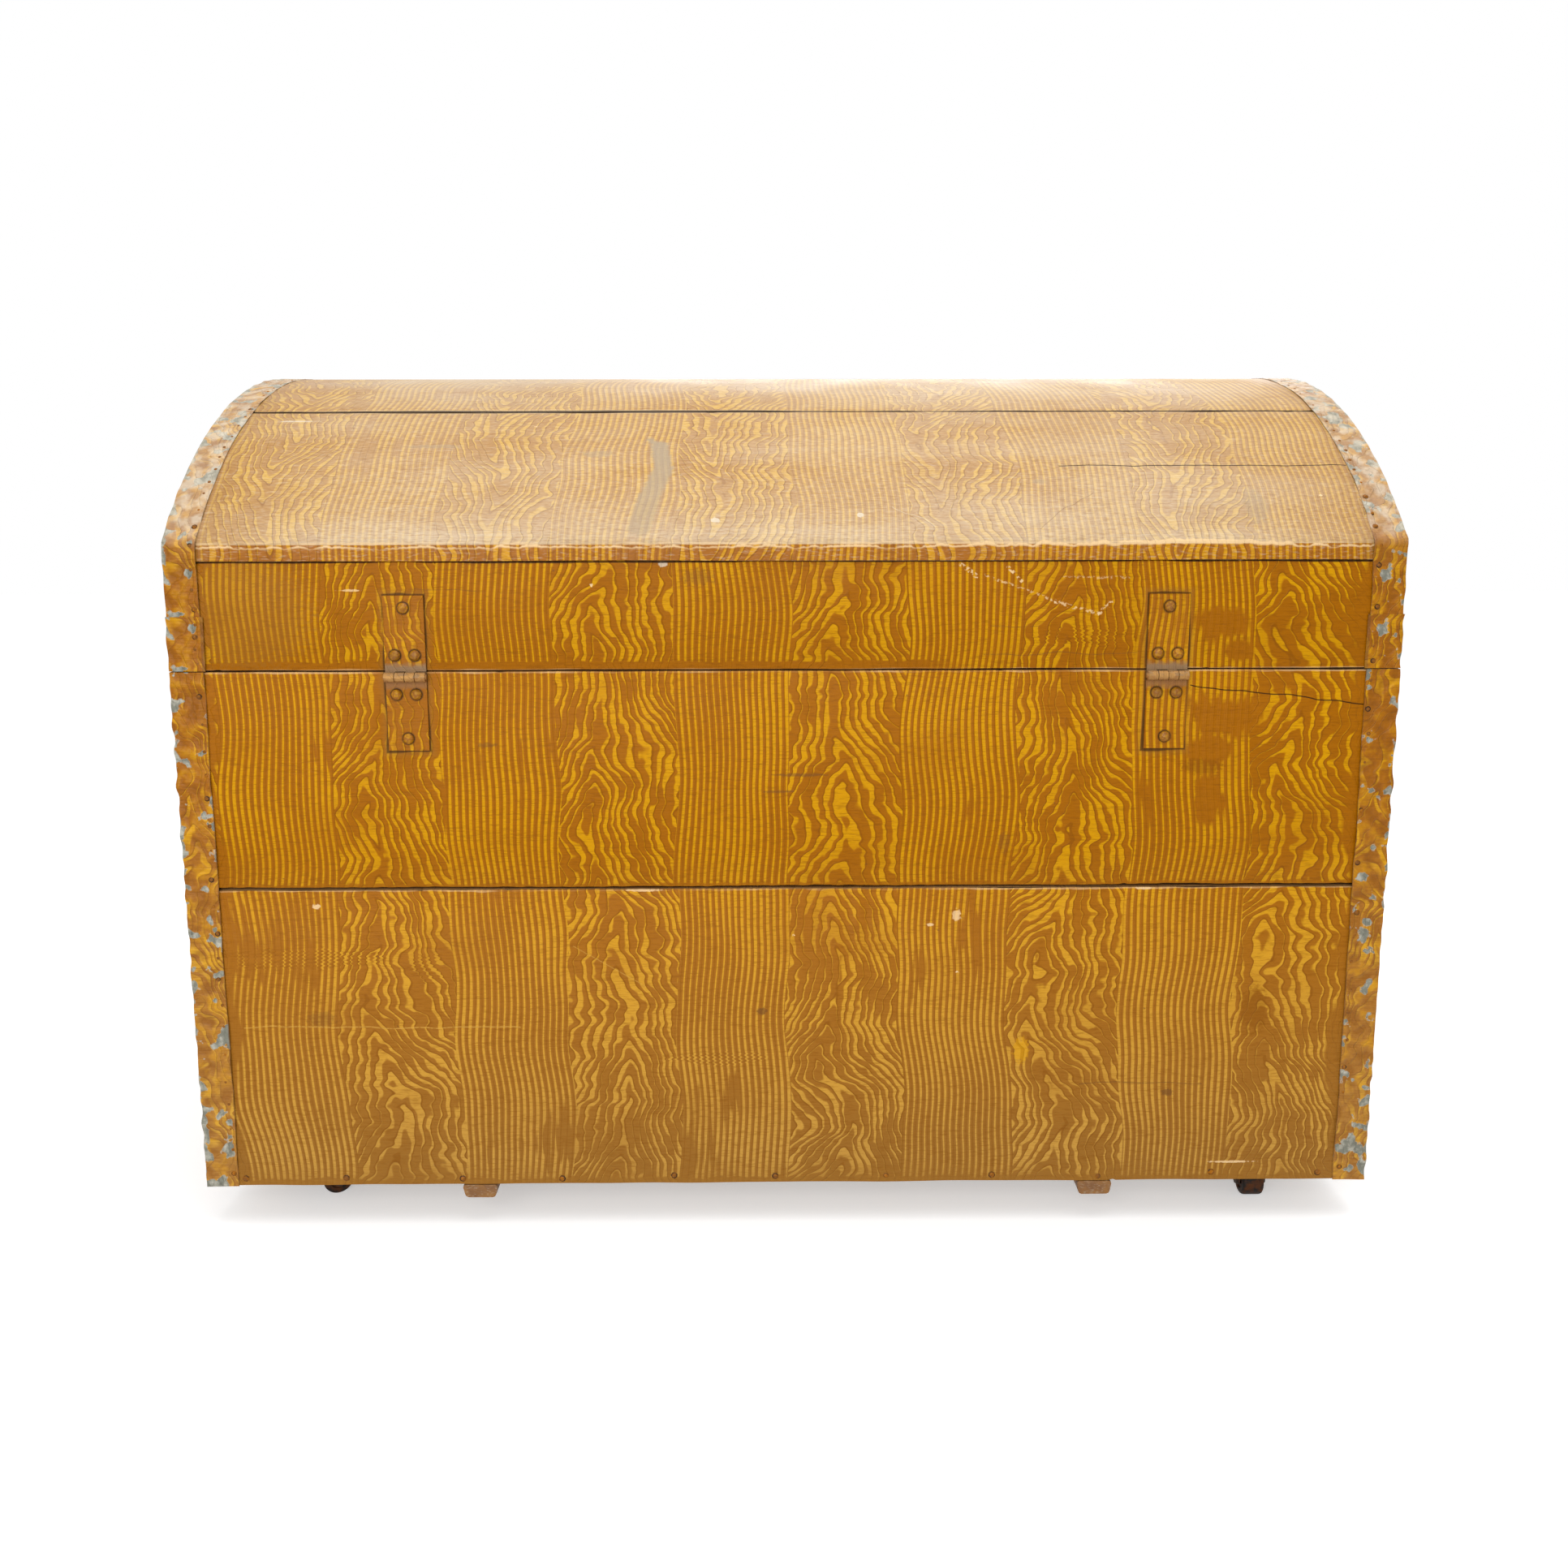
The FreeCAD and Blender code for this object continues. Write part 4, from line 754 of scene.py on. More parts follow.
def open_joint(node, paint, under, place, x, y, off, joint):
    """The joint between two dome boards: dark, and on the back gaping between raw edges."""
    off_joint = node("ABSOLUTE", node("SUBTRACT", off, joint))
    ragged = mottle(node, place, 26, 400, 3.0, 44)
    opening = node(RANGE, x, -60.0, 90.0)
    closing = node(RANGE, x, 330.0, 470.0, 1.0, 0.2)
    back = node("GREATER_THAN", y, 0.0)
    gaping = node("MULTIPLY", opening, closing)
    here = node("MULTIPLY", gaping, back)
    shaken = node("MULTIPLY_ADD", ragged, -1.4, node("MULTIPLY_ADD", here, -1.6, off_joint))
    dark = node(RANGE, shaken, 0.5, 1.1, 0.9, 0.0)
    raw = node(RANGE, shaken, 1.3, 2.3, 0.6, 0.0)
    rimmed = node(BLEND, node("MULTIPLY", raw, here), under, paint.splinter)
    return node(BLEND, dark, rimmed, paint.crack)


def dome_marks(node, paint, shown, x, arc):
    """A grey smear, scratches and a fine split on the dome; gives the colour and the split's depth."""
    flat = node(COMBINE, x, arc, 0.0)
    rough = node(NOISE, flat, None, 0.30, 3.0)
    bent = shaken_place(node, flat, node(NOISE, flat, None, 0.025, 2.0), (26.0, 5.0, 0.0))
    wavy = shaken_place(node, flat, rough, (6.0, 6.0, 0.0))
    for middle, half, tone, share in DOME_SPOTS:
        shown = lay(node, paint, shown, tone, round_mark(node, flat, middle, half, rough), share)
    for start, stop, half, tone, share in DOME_LINES:
        shown = lay(node, paint, shown, tone, along_mark(node, bent, start, stop, half), share)
    smear = 0.0
    for start, stop, half in DOME_SMEAR:
        smear = node("MAXIMUM", smear, along_mark(node, wavy, start, stop, half, 1.8))
    shown = lay(node, paint, shown, "grime_veil", smear, node(RANGE, arc, 270.0, 360.0, 0.85, 0.5))
    split = along_mark(node, bent, *DOME_SPLIT, 0.35)
    return lay(node, paint, shown, "crack", split), split


def bare_pine(name, wood):
    """Unpainted pine that has aged brown: dry, with dark late wood."""
    node, place, *_ = new_material(name)
    shade, fibres = pine_colour(node, wood, place)
    set_surface(node, fibres, 0.15, Base_Color=shade, Roughness=0.72)


def batten_finish(name, paint, wood):
    """Thin old paint on pine battens, scuffed through to the wood where they slide on the floor."""
    node, place, x, y, z = new_material(name)
    lengthways = node(COMBINE, y, x, z)
    bare, fibres = pine_colour(node, wood, lengthways)
    blotch = mottle(node, lengthways, 30, 12, 3.0, 2)
    aged = node(BLEND, node(RANGE, blotch, 0.36, 0.58, 0.35, 0.95), paint.dull_ground, paint.grime)
    rubbed = node(RANGE, mottle(node, place, 3.2, 1.1, 3.0, 9), 0.54, 0.68, 0.0, 0.55)
    scratched = node(BLEND, rubbed, aged, paint.grime_veil)
    scuff = node(RANGE, z, BATTEN_FOOT / MM, BATTEN_FOOT / MM + 3.0, 0.16, 0.0)
    chipped = node(RANGE, z, BOARD_BOTTOM / MM - 2.5, BOARD_BOTTOM / MM, 0.0, 0.16)
    through = node(RANGE, node("ADD", node("ADD", scuff, blotch), chipped), 0.64, 0.72, 0.0, 0.3)
    shown = node(BLEND, through, scratched, bare)
    set_surface(node, fibres, 0.3, Base_Color=shown, Roughness=0.62)


def strip_paint(name, paint, metal, wood):
    """Zinc-coated sheet painted over with the boards: the paint has flaked to dull blue-grey zinc."""
    node, _, x, _, z = new_material(name)
    sheet = node("ShaderNodeUVMap", uv_map="sheet")
    flat = node(VECTOR, sheet, (1000.0,) * 3, operation="MULTIPLY")
    side, run = node(SEPARATE, flat, take=slice(2))
    dull = node(RANGE, z, 80.0, 400.0, 0.8, 0.0)
    lifted = node(RANGE, z, 560.0, 620.0, 0.0, 0.7)
    age = node("MAXIMUM", dull, lifted)
    # The graining tool was turned as it crossed the strips, so its lines run slantwise and close together
    where = node(COMBINE, side, run, x)
    slanted = node("MULTIPLY_ADD", mottle(node, where, 70, 38, 1.5, 33), 44.0, side)
    grained = node("ADD", slanted, 1.6 * paint.column_width - 22.0)
    feeds = (grained, node("MULTIPLY", run, 0.95), 53.0)
    plain = node(RANGE, mottle(node, where, 48, 26, 2.0, 29), 0.46, 0.58, 0.0, 0.85)
    toned, height = grained_colour(node, paint, "faded", feeds, age, plain, coarse=1.6)
    # Flakes: along the fold, in bands across the strip and at its inner edge
    blotch = mottle(node, where, 13, 7, 2.0, 3)
    cross = mottle(node, where, 46, 15, 1.0, 5)
    off_fold = node("ABSOLUTE", side)
    fold = node(RANGE, off_fold, 0.0, 7.0, 0.11, 0.0)
    rim = node(RANGE, off_fold, STRIP_WIDTH / MM - 4.0, STRIP_WIDTH / MM, 0.0, 0.04)
    more = node("MULTIPLY_ADD", blotch, 0.45, node("MULTIPLY_ADD", cross, 1.0, fold))
    rimmed_risk = node("ADD", more, rim)
    foot = node(RANGE, z, BOARD_BOTTOM / MM + 20, BOARD_BOTTOM / MM + 120, 0.12, 0.0)
    risk = node("MULTIPLY_ADD", lifted, 0.10, node("ADD", rimmed_risk, foot))
    flaked = node(RANGE, risk, 0.910, 0.922)
    edge = node("SUBTRACT", node(RANGE, risk, 0.891, 0.908), flaked)
    bloom = mottle(node, where, 10, 7, 3.0, 8)
    zinc = node(BLEND, node(RANGE, bloom, 0.42, 0.66, 0.0, 0.75), metal.zinc, metal.zinc_pale)
    stain = node(RANGE, mottle(node, where, 16, 5, 2.0, 18), 0.56, 0.74, 0.0, 0.55)
    tarnished = node(BLEND, stain, zinc, metal.zinc_dark)
    # Painted shade and highlight of ripples in the sheet: darker in their hollows and pale on top
    ripple_shade = mottle(node, where, 60, 12, 2.0, 10)
    dirt_and_shade = node(BLEND, node(RANGE, ripple_shade, 0.34, 0.52, 0.55, 0.0), toned, paint.outline)
    pale = node(RANGE, ripple_shade, 0.52, 0.70, 0.0, 0.4)
    rubbed = node(BLEND, pale, dirt_and_shade, paint.stripe)
    bared = node(BLEND, flaked, rubbed, tarnished)
    shown = node(BLEND, node("MULTIPLY", edge, 0.55), bared, metal.zinc_pale)
    margin = node(RANGE, off_fold, STRIP_WIDTH / MM - 1.0, STRIP_WIDTH / MM - 0.4, 0.0, 0.6)
    lined = node(BLEND, margin, shown, paint.grime)
    # Dust and bloom on the dome, which also paint the sheen of light there, thinner in streaks where the
    # strip's paint stayed glossy
    on_dome = node(RANGE, z, wood.dome_edge - 4, wood.dome_edge + 14)
    glossy = mottle(node, where, 34, 12, 2.5, 36)
    dust_and_sheen = node("MULTIPLY", on_dome, node(RANGE, glossy, 0.38, 0.58, 0.62, 0.20))
    lined = node(BLEND, dust_and_sheen, lined, paint.bloom)
    sunk = node("MULTIPLY_ADD", flaked, -1.4, node("MULTIPLY_ADD", ripple_shade, 15.0, height))
    metal_share = node("MULTIPLY", flaked, 0.2)
    rough = node(RANGE, flaked, 0.0, 1.0, 0.40, 0.58)
    set_surface(
        node, sunk, 0.25, Base_Color=lined, Roughness=rough, Metallic=metal_share, Specular_IOR_Level=0.18
    )


def rivet_foot_shade(node, head, x, z):
    """Nearly 1 in the painted shade and dirt round the feet of the hinges' rivets."""
    folded = node("ABSOLUTE", node("SUBTRACT", node("ABSOLUTE", x), HINGE_X / MM))
    spot = node(COMBINE, folded, z, 0.0)
    rings = 0.0
    for rivets, near in (("hinge_rivets_lid", 0), ("hinge_rivets_body", 1)):
        low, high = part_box(rivets)
        spread = (high.x - HINGE_X) / MM - head
        ends = (low.z / MM + head, high.z / MM - head)
        for centre in ((spread, ends[near]), (0.0, ends[1 - near])):
            away = node(VECTOR, spot, (*centre, 0.0), take=1, operation="DISTANCE")
            rings = node("MAXIMUM", rings, node(RANGE, away, head + 0.2, head + 1.4, 0.8, 0.0))
    return rings


def hinge_paint(name, paint, metal, fasteners):
    """Wrought iron painted over with the boards, the graining carried across it."""
    node, place, x, y, z = new_material(name)
    patch = mottle(node, place, 5, 4, 3.0, 2)
    plain = node(RANGE, mottle(node, place, 12, 30, 2.0, 5), 0.54, 0.66, 0.0, 0.7)
    toned, height = grained_colour(node, paint, "dull", (x, z, 0.0), 0.0, plain)
    axis = sum(p.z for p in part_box("hinge_pin_right")) / 2 / MM
    from_axis = node("SUBTRACT", z, axis)
    off_axis = node("ABSOLUTE", from_axis)
    dull = node(RANGE, node("MULTIPLY_ADD", patch, -8.0, off_axis), 4.0, 8.0, 0.9, 0.0)
    band = node(BLEND, node("GREATER_THAN", from_axis, 0.0), paint.faded_glaze, metal.dusty)
    dulled = node(BLEND, dull, toned, band)
    # Painted shade and dirt round the rivets' feet
    rings = rivet_foot_shade(node, fasteners.rivet / 2, x, z)
    dirt_and_shade = node(BLEND, rings, dulled, paint.rut_dirt_and_shade)
    knuckle = node(RANGE, y, HALF_DEPTH / MM + 3.4, HALF_DEPTH / MM + 6.5)
    rubbed = node("MULTIPLY", knuckle, node(RANGE, patch, 0.40, 0.56, 0.25, 1.0))
    worn = node("MULTIPLY", rubbed, node(RANGE, off_axis, 3.6, 4.4, 1.0, 0.0))
    shown = node(BLEND, worn, dirt_and_shade, metal.bright)
    metal_share = node("MULTIPLY", worn, 0.25)
    set_surface(
        node, height, 0.2, Base_Color=shown, Roughness=0.4, Metallic=metal_share, Specular_IOR_Level=0.12
    )


def head_paint(name, paint, metal, fasteners, ringed=False):
    """Rivet heads, and tack heads when ringed: painted over, rubbed on top, and dark round the foot, which
    on the rivets is painted shade.
    """
    node, place, _, y, _ = new_material(name)
    patch = mottle(node, place, 2.4, 2.4, 3.0, 1)
    tone = mottle(node, place, 45, 45, 1.0, 4)
    share = node(RANGE, tone, 0.40, 0.62, 0.0 if ringed else 0.25, 0.6)
    glazed = node(RANGE, patch, 0.42, 0.56, 0.7, 0.0)
    coated = node(BLEND, glazed, paint.ground, paint.grime if ringed else paint.stripe)
    base = node(BLEND, share, coated, paint.grime)
    rubbed = node(RANGE, patch, 0.60, 0.70, 0.0, 0.3)
    shown = node(BLEND, rubbed, base, metal.bright)
    if ringed:
        rise = node("ShaderNodeAttribute", take=2, attribute_name="rise")
        foot_patches = mottle(node, place, 5, 5, 2.0, 6)
        foot = node(RANGE, rise, 0.0, 0.35, node(RANGE, foot_patches, 0.38, 0.60, 0.15, 0.9), 0.0)
    else:
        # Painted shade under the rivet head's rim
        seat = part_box("hinge_rivets_lid")[1].y / MM - fasteners.rivet_height
        foot = node(RANGE, y, seat + 0.3, seat + 1.5, 0.9, 0.0)
    shown = node(BLEND, foot, shown, paint.crack)
    # Hammered facets about 3 mm across
    facets = node(CELLS, node(VECTOR, place, (1 / 3.4,) * 3, operation="MULTIPLY"), None, 1.0)
    gloss = 0.12 if ringed else 0.25
    set_surface(node, facets, 0.7, Base_Color=shown, Roughness=0.36, Specular_IOR_Level=gloss)


def old_iron(name, base, metal, roughness=0.55):
    """Forged or cast iron: dark skin, rust in the hollows."""
    node, place, *_ = new_material(name)
    patch = mottle(node, place, 7, 7, 4.0, 1)
    pits = mottle(node, place, 1.4, 1.4, 2.0, 3)
    shown = node(BLEND, node(RANGE, patch, 0.46, 0.66, 0.0, 0.8), base, metal.rust)
    rough = node(RANGE, patch, 0.3, 0.7, roughness - 0.12, roughness + 0.2)
    set_surface(node, pits, 0.3, Base_Color=shown, Roughness=rough, Metallic=0.7)


def dome_circle(wood):
    """Radius and centre height of the dome, from the crest and the height where it meets the back."""
    rise = CREST - wood.dome_edge * MM
    radius = (HALF_DEPTH ** 2 + rise ** 2) / (2 * rise)
    return radius, CREST - radius


def make_piece(name, bm, material, body, replaced=(), crease=35):
    """Turn a bmesh into a named piece that rides on a body and stands for the nodes in replaced."""
    mesh = bpy.data.meshes.new(name)
    bm.to_mesh(mesh)
    bm.free()
    mesh.shade_smooth()
    mesh.set_sharp_from_angle(angle=math.radians(crease))
    mesh.materials.append(material)
    piece = bpy.data.objects.new(name, mesh)
    bpy.context.scene.collection.objects.link(piece)
    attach(piece, body)
    if replaced:
        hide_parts(*replaced)
    return piece


def finish_nodes(names, material):
    """Give CAD nodes that stay shown a material."""
    for name in names:
        node = NODES[name]
        node.data.materials.clear()
        node.data.materials.append(material)


def whole(bm):
    """All of a bmesh's vertices, edges and faces."""
    return bm.verts[:] + bm.edges[:] + bm.faces[:]


def verts_in(geom):
    """The vertices among what a bmesh operator made."""
    return [item for item in geom if isinstance(item, bmesh.types.BMVert)]


def waver(distance, seed, step):
    """Uneven hand-work: a smooth value from about -1 to 1 that changes over step metres."""
    return noise.noise(Vector((distance / step, seed, seed * 0.37))) * 2


def chip(distance, seed, step, edge=0.45):
    """Chips: 0 for most of the way, rising to 1 in short stretches."""
    value = noise.noise(Vector((distance / step, seed, 3.1)))
    return max(0.0, value - edge) / (1 - edge) * 1.6


def worn_board(wood, profile, axis, low, high, cuts, seed, gape, opened, rub=None):
    """A board with the given profile drawn out along an axis; its long edges are rubbed and chipped.

    profile holds the corners across the axis in turn. The corners numbered in opened are worn back
    by gape more, so that the joint beside them stands open.
    """
    rub, uneven = rub or wood.rub * MM, wood.uneven * MM
    others = [a for a in range(3) if a != axis]
    bm = bmesh.new()
    ring = []
    for corner in profile:
        spot = Vector((low, low, low))
        spot[others[0]], spot[others[1]] = corner
        ring.append(bm.verts.new(spot))
    end = bm.faces.new(ring)
    drawn = bmesh.ops.extrude_face_region(bm, geom=[end])["geom"]
    step = Vector((0, 0, 0))
    step[axis] = high - low
    bmesh.ops.translate(bm, vec=step, verts=verts_in(drawn))

    def lengthways():
        """The edges that run along the board."""
        return [e for e in bm.edges if abs(e.verts[0].co[axis] - e.verts[1].co[axis]) > 1e-6]

    bmesh.ops.subdivide_edges(bm, edges=lengthways(), cuts=cuts, use_grid_fill=True)
    bmesh.ops.recalc_face_normals(bm, faces=bm.faces)
    corners = [e for e in lengthways() if e.calc_face_angle(0) > 0.3]
    bmesh.ops.bevel(
        bm, geom=corners, offset=rub, segments=2, profile=0.5, affect="EDGES", material=-1,
        clamp_overlap=True,
    )
    spots = [Vector(corner) for corner in profile]
    inward = [
        ((spots[i - 1] - c).normalized() + (spots[(i + 1) % len(spots)] - c).normalized()).normalized()
        for i, c in enumerate(spots)
    ]
    for vert in bm.verts:
        flat = Vector((vert.co[others[0]], vert.co[others[1]]))
        near = min(range(len(spots)), key=lambda i: (spots[i] - flat).length)
        if (spots[near] - flat).length > rub * 1.2:
            continue
        run, spot = vert.co[axis], seed + near * 7
        worn = uneven * (0.3 + 0.3 * waver(run, spot, 0.055) + 1.5 * chip(run, spot, 0.012))
        if near in opened:
            worn += gape * (1 + 0.5 * waver(run, spot, 0.13) + 0.4 * waver(run, spot, 0.009))
        pull = inward[near] * max(0.0, min(worn, uneven * 2.2 + gape))
        vert.co[others[0]] += pull.x
        vert.co[others[1]] += pull.y
    return bm


def box_profile(low, high, axis):
    """The four corners of a box across an axis."""
    a, b = [i for i in range(3) if i != axis]
    return [(low[a], low[b]), (high[a], low[b]), (high[a], high[b]), (low[a], high[b])]


def spin_dome(radius, centre, thickness, start, stop, steps, cuts, half):
    """A bent board: a strip of the dome between two angles from the crest, positive towards the back."""
    bm = bmesh.new()
    bmesh.ops.create_grid(bm, x_segments=cuts, y_segments=1, size=0.5)
    bmesh.ops.rotate(bm, matrix=Matrix.Rotation(math.pi / 2, 3, "X"), verts=bm.verts)
    bmesh.ops.scale(bm, vec=(2 * half, 1, thickness), verts=bm.verts)
    bmesh.ops.translate(bm, vec=(0, 0, radius - thickness / 2), verts=bm.verts)
    bmesh.ops.rotate(bm, matrix=Matrix.Rotation(-start, 3, "X"), verts=bm.verts)
    bmesh.ops.translate(bm, vec=(0, 0, centre), verts=bm.verts)
    bmesh.ops.spin(
        bm, geom=whole(bm), cent=(0, 0, centre), axis=(-1, 0, 0), angle=stop - start, steps=steps,
        use_merge=False, use_duplicate=False,
    )
    bmesh.ops.recalc_face_normals(bm, faces=bm.faces)
    return bm


def sheet_strip(width, run, step, place, seed, metal, snips=()):
    """A folded sheet strip: a flat ribbon of width by run, bent and buckled by place(side, along, lift).

    side runs from -width to width across the fold. The flat place of every point is kept in the UV map
    called sheet, in metres.
    """
    bm = bmesh.new()
    columns = 2 * round(width / (step * 0.9))
    rows = round(run / step)
    bmesh.ops.create_grid(bm, x_segments=columns, y_segments=rows, size=0.5)
    bmesh.ops.scale(bm, vec=(2 * width, run, 1), verts=bm.verts)
    bmesh.ops.translate(bm, vec=(0, run / 2, 0), verts=bm.verts)
    sheet = bm.loops.layers.uv.new("sheet")
    for face in bm.faces:
        for loop in face.loops:
            loop[sheet].uv = (loop.vert.co.x, loop.vert.co.y)
    buckle, pitch, wander = metal.buckle * MM, metal.buckle_pitch * MM, metal.edge_wander * MM
    for vert in bm.verts:
        side, along = vert.co.x, vert.co.y
        edge = min(1.0, max(0.0, abs(side) / width - 0.75) * 4)
        spot = seed + (5 if side > 0 else 9)
        side -= math.copysign(edge * wander * (0.5 + 0.5 * waver(along, spot, 0.05)), side)
        calm = max(0.2, 0.8 + 1.3 * noise.noise(Vector((along / (pitch * 6), seed, 7.0))))
        bulge = noise.noise(Vector((side / (pitch * 2.6), along / (pitch * 0.7), seed)))
        at_fold = noise.noise(Vector((along / (pitch * 0.8), seed, 2.0))) * max(0.0, 1 - abs(side) / 0.012)
        lift = buckle * max(0.0, 0.5 + (bulge * 1.3 + at_fold * 1.1) * calm)
        vert.co = place(side, along, lift)
    for cut in snips:
        open_snip(bm, sheet, cut, width)
    bm.normal_update()
    if outward(bm.faces[:]) < 0:
        bmesh.ops.reverse_faces(bm, faces=bm.faces)
        bm.normal_update()
    bmesh.ops.solidify(bm, geom=bm.faces, thickness=SHEET * 0.6)
    return bm


def outward(faces):
    """Above 0 when the faces of a sheet look away from the middle of the trunk."""
    middle = Vector((0, 0, (CREST + BOARD_BOTTOM) / 2))
    return sum(face.normal.dot(face.calc_center_median() - middle) * face.calc_area() for face in faces)


def open_snip(bm, sheet, cut, width):
    """A V-shaped snip in the end flange at distance cut along the ribbon."""
    rows = sorted({round(loop[sheet].uv.y, 6) for face in bm.faces for loop in face.loops})
    nearest = min(rows, key=lambda row: abs(row - cut))
    flat = {loop.vert: loop[sheet].uv.copy() for face in bm.faces for loop in face.loops}
    line = [
        e for e in bm.edges
        if all(abs(flat[v].y - nearest) < 1e-5 and flat[v].x < -SNIP_START for v in e.verts)
    ]
    shares = {}
    bmesh.ops.split_edges(bm, edges=line)
    for face in bm.faces:
        for loop in face.loops:
            uv = loop[sheet].uv
            if abs(uv.y - nearest) < 1e-5 and uv.x < -SNIP_START:
                shares[loop.vert] = (-uv.x - SNIP_START) / (width - SNIP_START)
    for vert, share in shares.items():
        others = [e.other_vert(vert) for e in vert.link_edges]
        ahead = [o for o in others if o not in shares]
        if ahead:
            vert.co = vert.co.lerp(ahead[0].co, min(0.6, share * 0.7))


def corner_place(sign_x, sign_y, bottom):
    """Where a point of an upright corner strip lies: the long face for side above 0, the end face below."""
    def place(side, along, lift):
        out = lift * (0.25 if sign_y < 0 else 1) + SHEET * 0.4
        if side >= 0:
            spread = min(1.0, side / FOLD_EASE)
            across = HALF_WIDTH - side + out * (1 - spread)
            return Vector((sign_x * across, sign_y * (HALF_DEPTH + out), bottom + along))
        spread = min(1.0, -side / FOLD_EASE)
        across = HALF_DEPTH + side + out * (1 - spread)
        return Vector((sign_x * (HALF_WIDTH + out), sign_y * across, bottom + along))
    return place


def dome_place(sign_x, radius, centre, edge_height):
    """Where a point of a dome strip lies: up the back tab, over the dome and down the front tab."""
    half_angle = math.asin(HALF_DEPTH / radius)
    tab = edge_height - TAB_FOOT
    arc = 2 * half_angle * radius

    def place(side, along, lift):
        if along < tab or along > tab + arc:
            sign_y = 1 if along < tab else -1
            height = TAB_FOOT + (along if along < tab else 2 * tab + arc - along)
            direction = Vector((0, sign_y, 0))
            base = Vector((0, sign_y * HALF_DEPTH, height))
        else:
            angle = half_angle - (along - tab) / radius
            direction = Vector((0, math.sin(angle), math.cos(angle)))
            base = Vector((0, 0, centre)) + direction * radius
        near_crest = min(1.0, abs(base.y) / 0.16) * (0.45 if base.y < -0.2 else 1)
        out = lift * (0.2 + 0.7 * near_crest) + SHEET * 0.3
        if side >= 0:
            return base + direction * out + Vector((sign_x * (HALF_WIDTH - side), 0, 0))
        # The end flange turns in towards the dome's middle, its direction eased round the corner
        corner = min(abs(along - tab), abs(along - tab - arc))
        if corner < 0.022:
            flat = Vector((0, math.copysign(1, base.y), 0))
            steep = Vector((0, math.copysign(math.sin(half_angle), base.y), math.cos(half_angle)))
            inside = tab <= along <= tab + arc
            share = 0.5 + (0.5 if inside else -0.5) * corner / 0.022
            direction = flat.lerp(steep, share).normalized()
        return base + direction * side + Vector((sign_x * (HALF_WIDTH + out), 0, 0))
    return place, tab, arc


def spin_outline(outline, steps, closed=False):
    """A turned piece: an outline of (radius, height) points spun about Z, its flat ends filled."""
    bm = bmesh.new()
    spots = [bm.verts.new((radius, 0, height)) for radius, height in outline]
    for a, b in zip(spots, spots[1:] + (spots[:1] if closed else [])):
        bm.edges.new((a, b))
    bmesh.ops.spin(
        bm, geom=whole(bm), cent=(0, 0, 0), axis=(0, 0, 1), angle=math.tau, steps=steps,
        use_merge=True, use_duplicate=False,
    )
    bmesh.ops.remove_doubles(bm, verts=bm.verts, dist=1e-7)
    rim = [e for e in bm.edges if e.is_boundary]
    if rim:
        bmesh.ops.holes_fill(bm, edges=rim, sides=0)
    bmesh.ops.recalc_face_normals(bm, faces=bm.faces)
    return bm


def turned_head(radius, height, sides, rings):
    """A low domed head on the XY plane."""
    ball = (radius * radius + height * height) / (2 * height)
    full = math.asin(min(1.0, radius / ball))
    angles = [full * i / rings for i in range(rings + 1)]
    outline = [(ball * math.sin(angle), height - ball + ball * math.cos(angle)) for angle in angles]
    return spin_outline(outline, sides)


def add_heads(rows, material, crease):
    """A piece for each row of name, template mesh, spots and body, with a head at each spot.

    A spot is its place, the way it looks and its turn.
    """
    for name, template, spots, body in rows:
        bm = bmesh.new()
        for place, normal, turn in spots:
            before = len(bm.verts)
            bm.from_mesh(template)
            bm.verts.ensure_lookup_table()
            facing = Vector(normal).to_track_quat("Z", "Y").to_matrix().to_4x4()
            move = Matrix.Translation(place) @ facing @ Matrix.Rotation(turn, 4, "Z")
            bmesh.ops.transform(bm, matrix=move, verts=bm.verts[before:])
        make_piece(name, bm, material, body, crease=crease)


def spaced(start, stop, pitch, spread, chance):
    """Places from start to stop, pitch apart, each step longer or shorter by up to a share of spread."""
    while start < stop:
        yield start
        start += pitch * chance.uniform(1 - spread, 1 + spread)


def studs(xs, ys, zs, normal, chance):
    """A head at each crossing of the given X, Y and Z, turned at random."""
    return [(Vector(spot), normal, chance.uniform(0, 3)) for spot in product(xs, ys, zs)]


def inset_ends(low, high, inset):
    """The two ends of a span in metres, moved in by some millimetres."""
    return low + inset * MM, high - inset * MM


def add_skirt(bm, reach, height):
    """A thin skirt round a head, dark at its foot, and the attribute rise: 0 on the skirt and 1 on the
    head's top.
    """
    foot = [face for face in bm.faces if face.normal.z < -0.9]
    bmesh.ops.delete(bm, geom=foot, context="FACES_ONLY")
    rim = [edge for edge in bm.edges if edge.is_boundary]
    made = bmesh.ops.extrude_edge_only(bm, edges=rim)["geom"]
    for vert in verts_in(made):
        vert.co = vert.co.normalized() * (vert.co.length + reach)
        vert.co.z = -height * 0.3
    bmesh.ops.recalc_face_normals(bm, faces=bm.faces)
    rise = bm.verts.layers.float.new("rise")
    top = max(vert.co.z for vert in bm.verts)
    for vert in bm.verts:
        vert[rise] = max(0.0, vert.co.z / top)
    return bm


def template_of(bm, name):
    """A mesh to copy from, made of a bmesh."""
    mesh = bpy.data.meshes.new(name)
    bm.to_mesh(mesh)
    bm.free()
    return mesh


def seen_directly(node):
    """1 for rays from the camera or off a glossy face, 0 for the rays that carry light."""
    rays = node("ShaderNodeLightPath", take=None).outputs
    return node("MAXIMUM", rays["Is Camera Ray"], rays["Is Glossy Ray"])


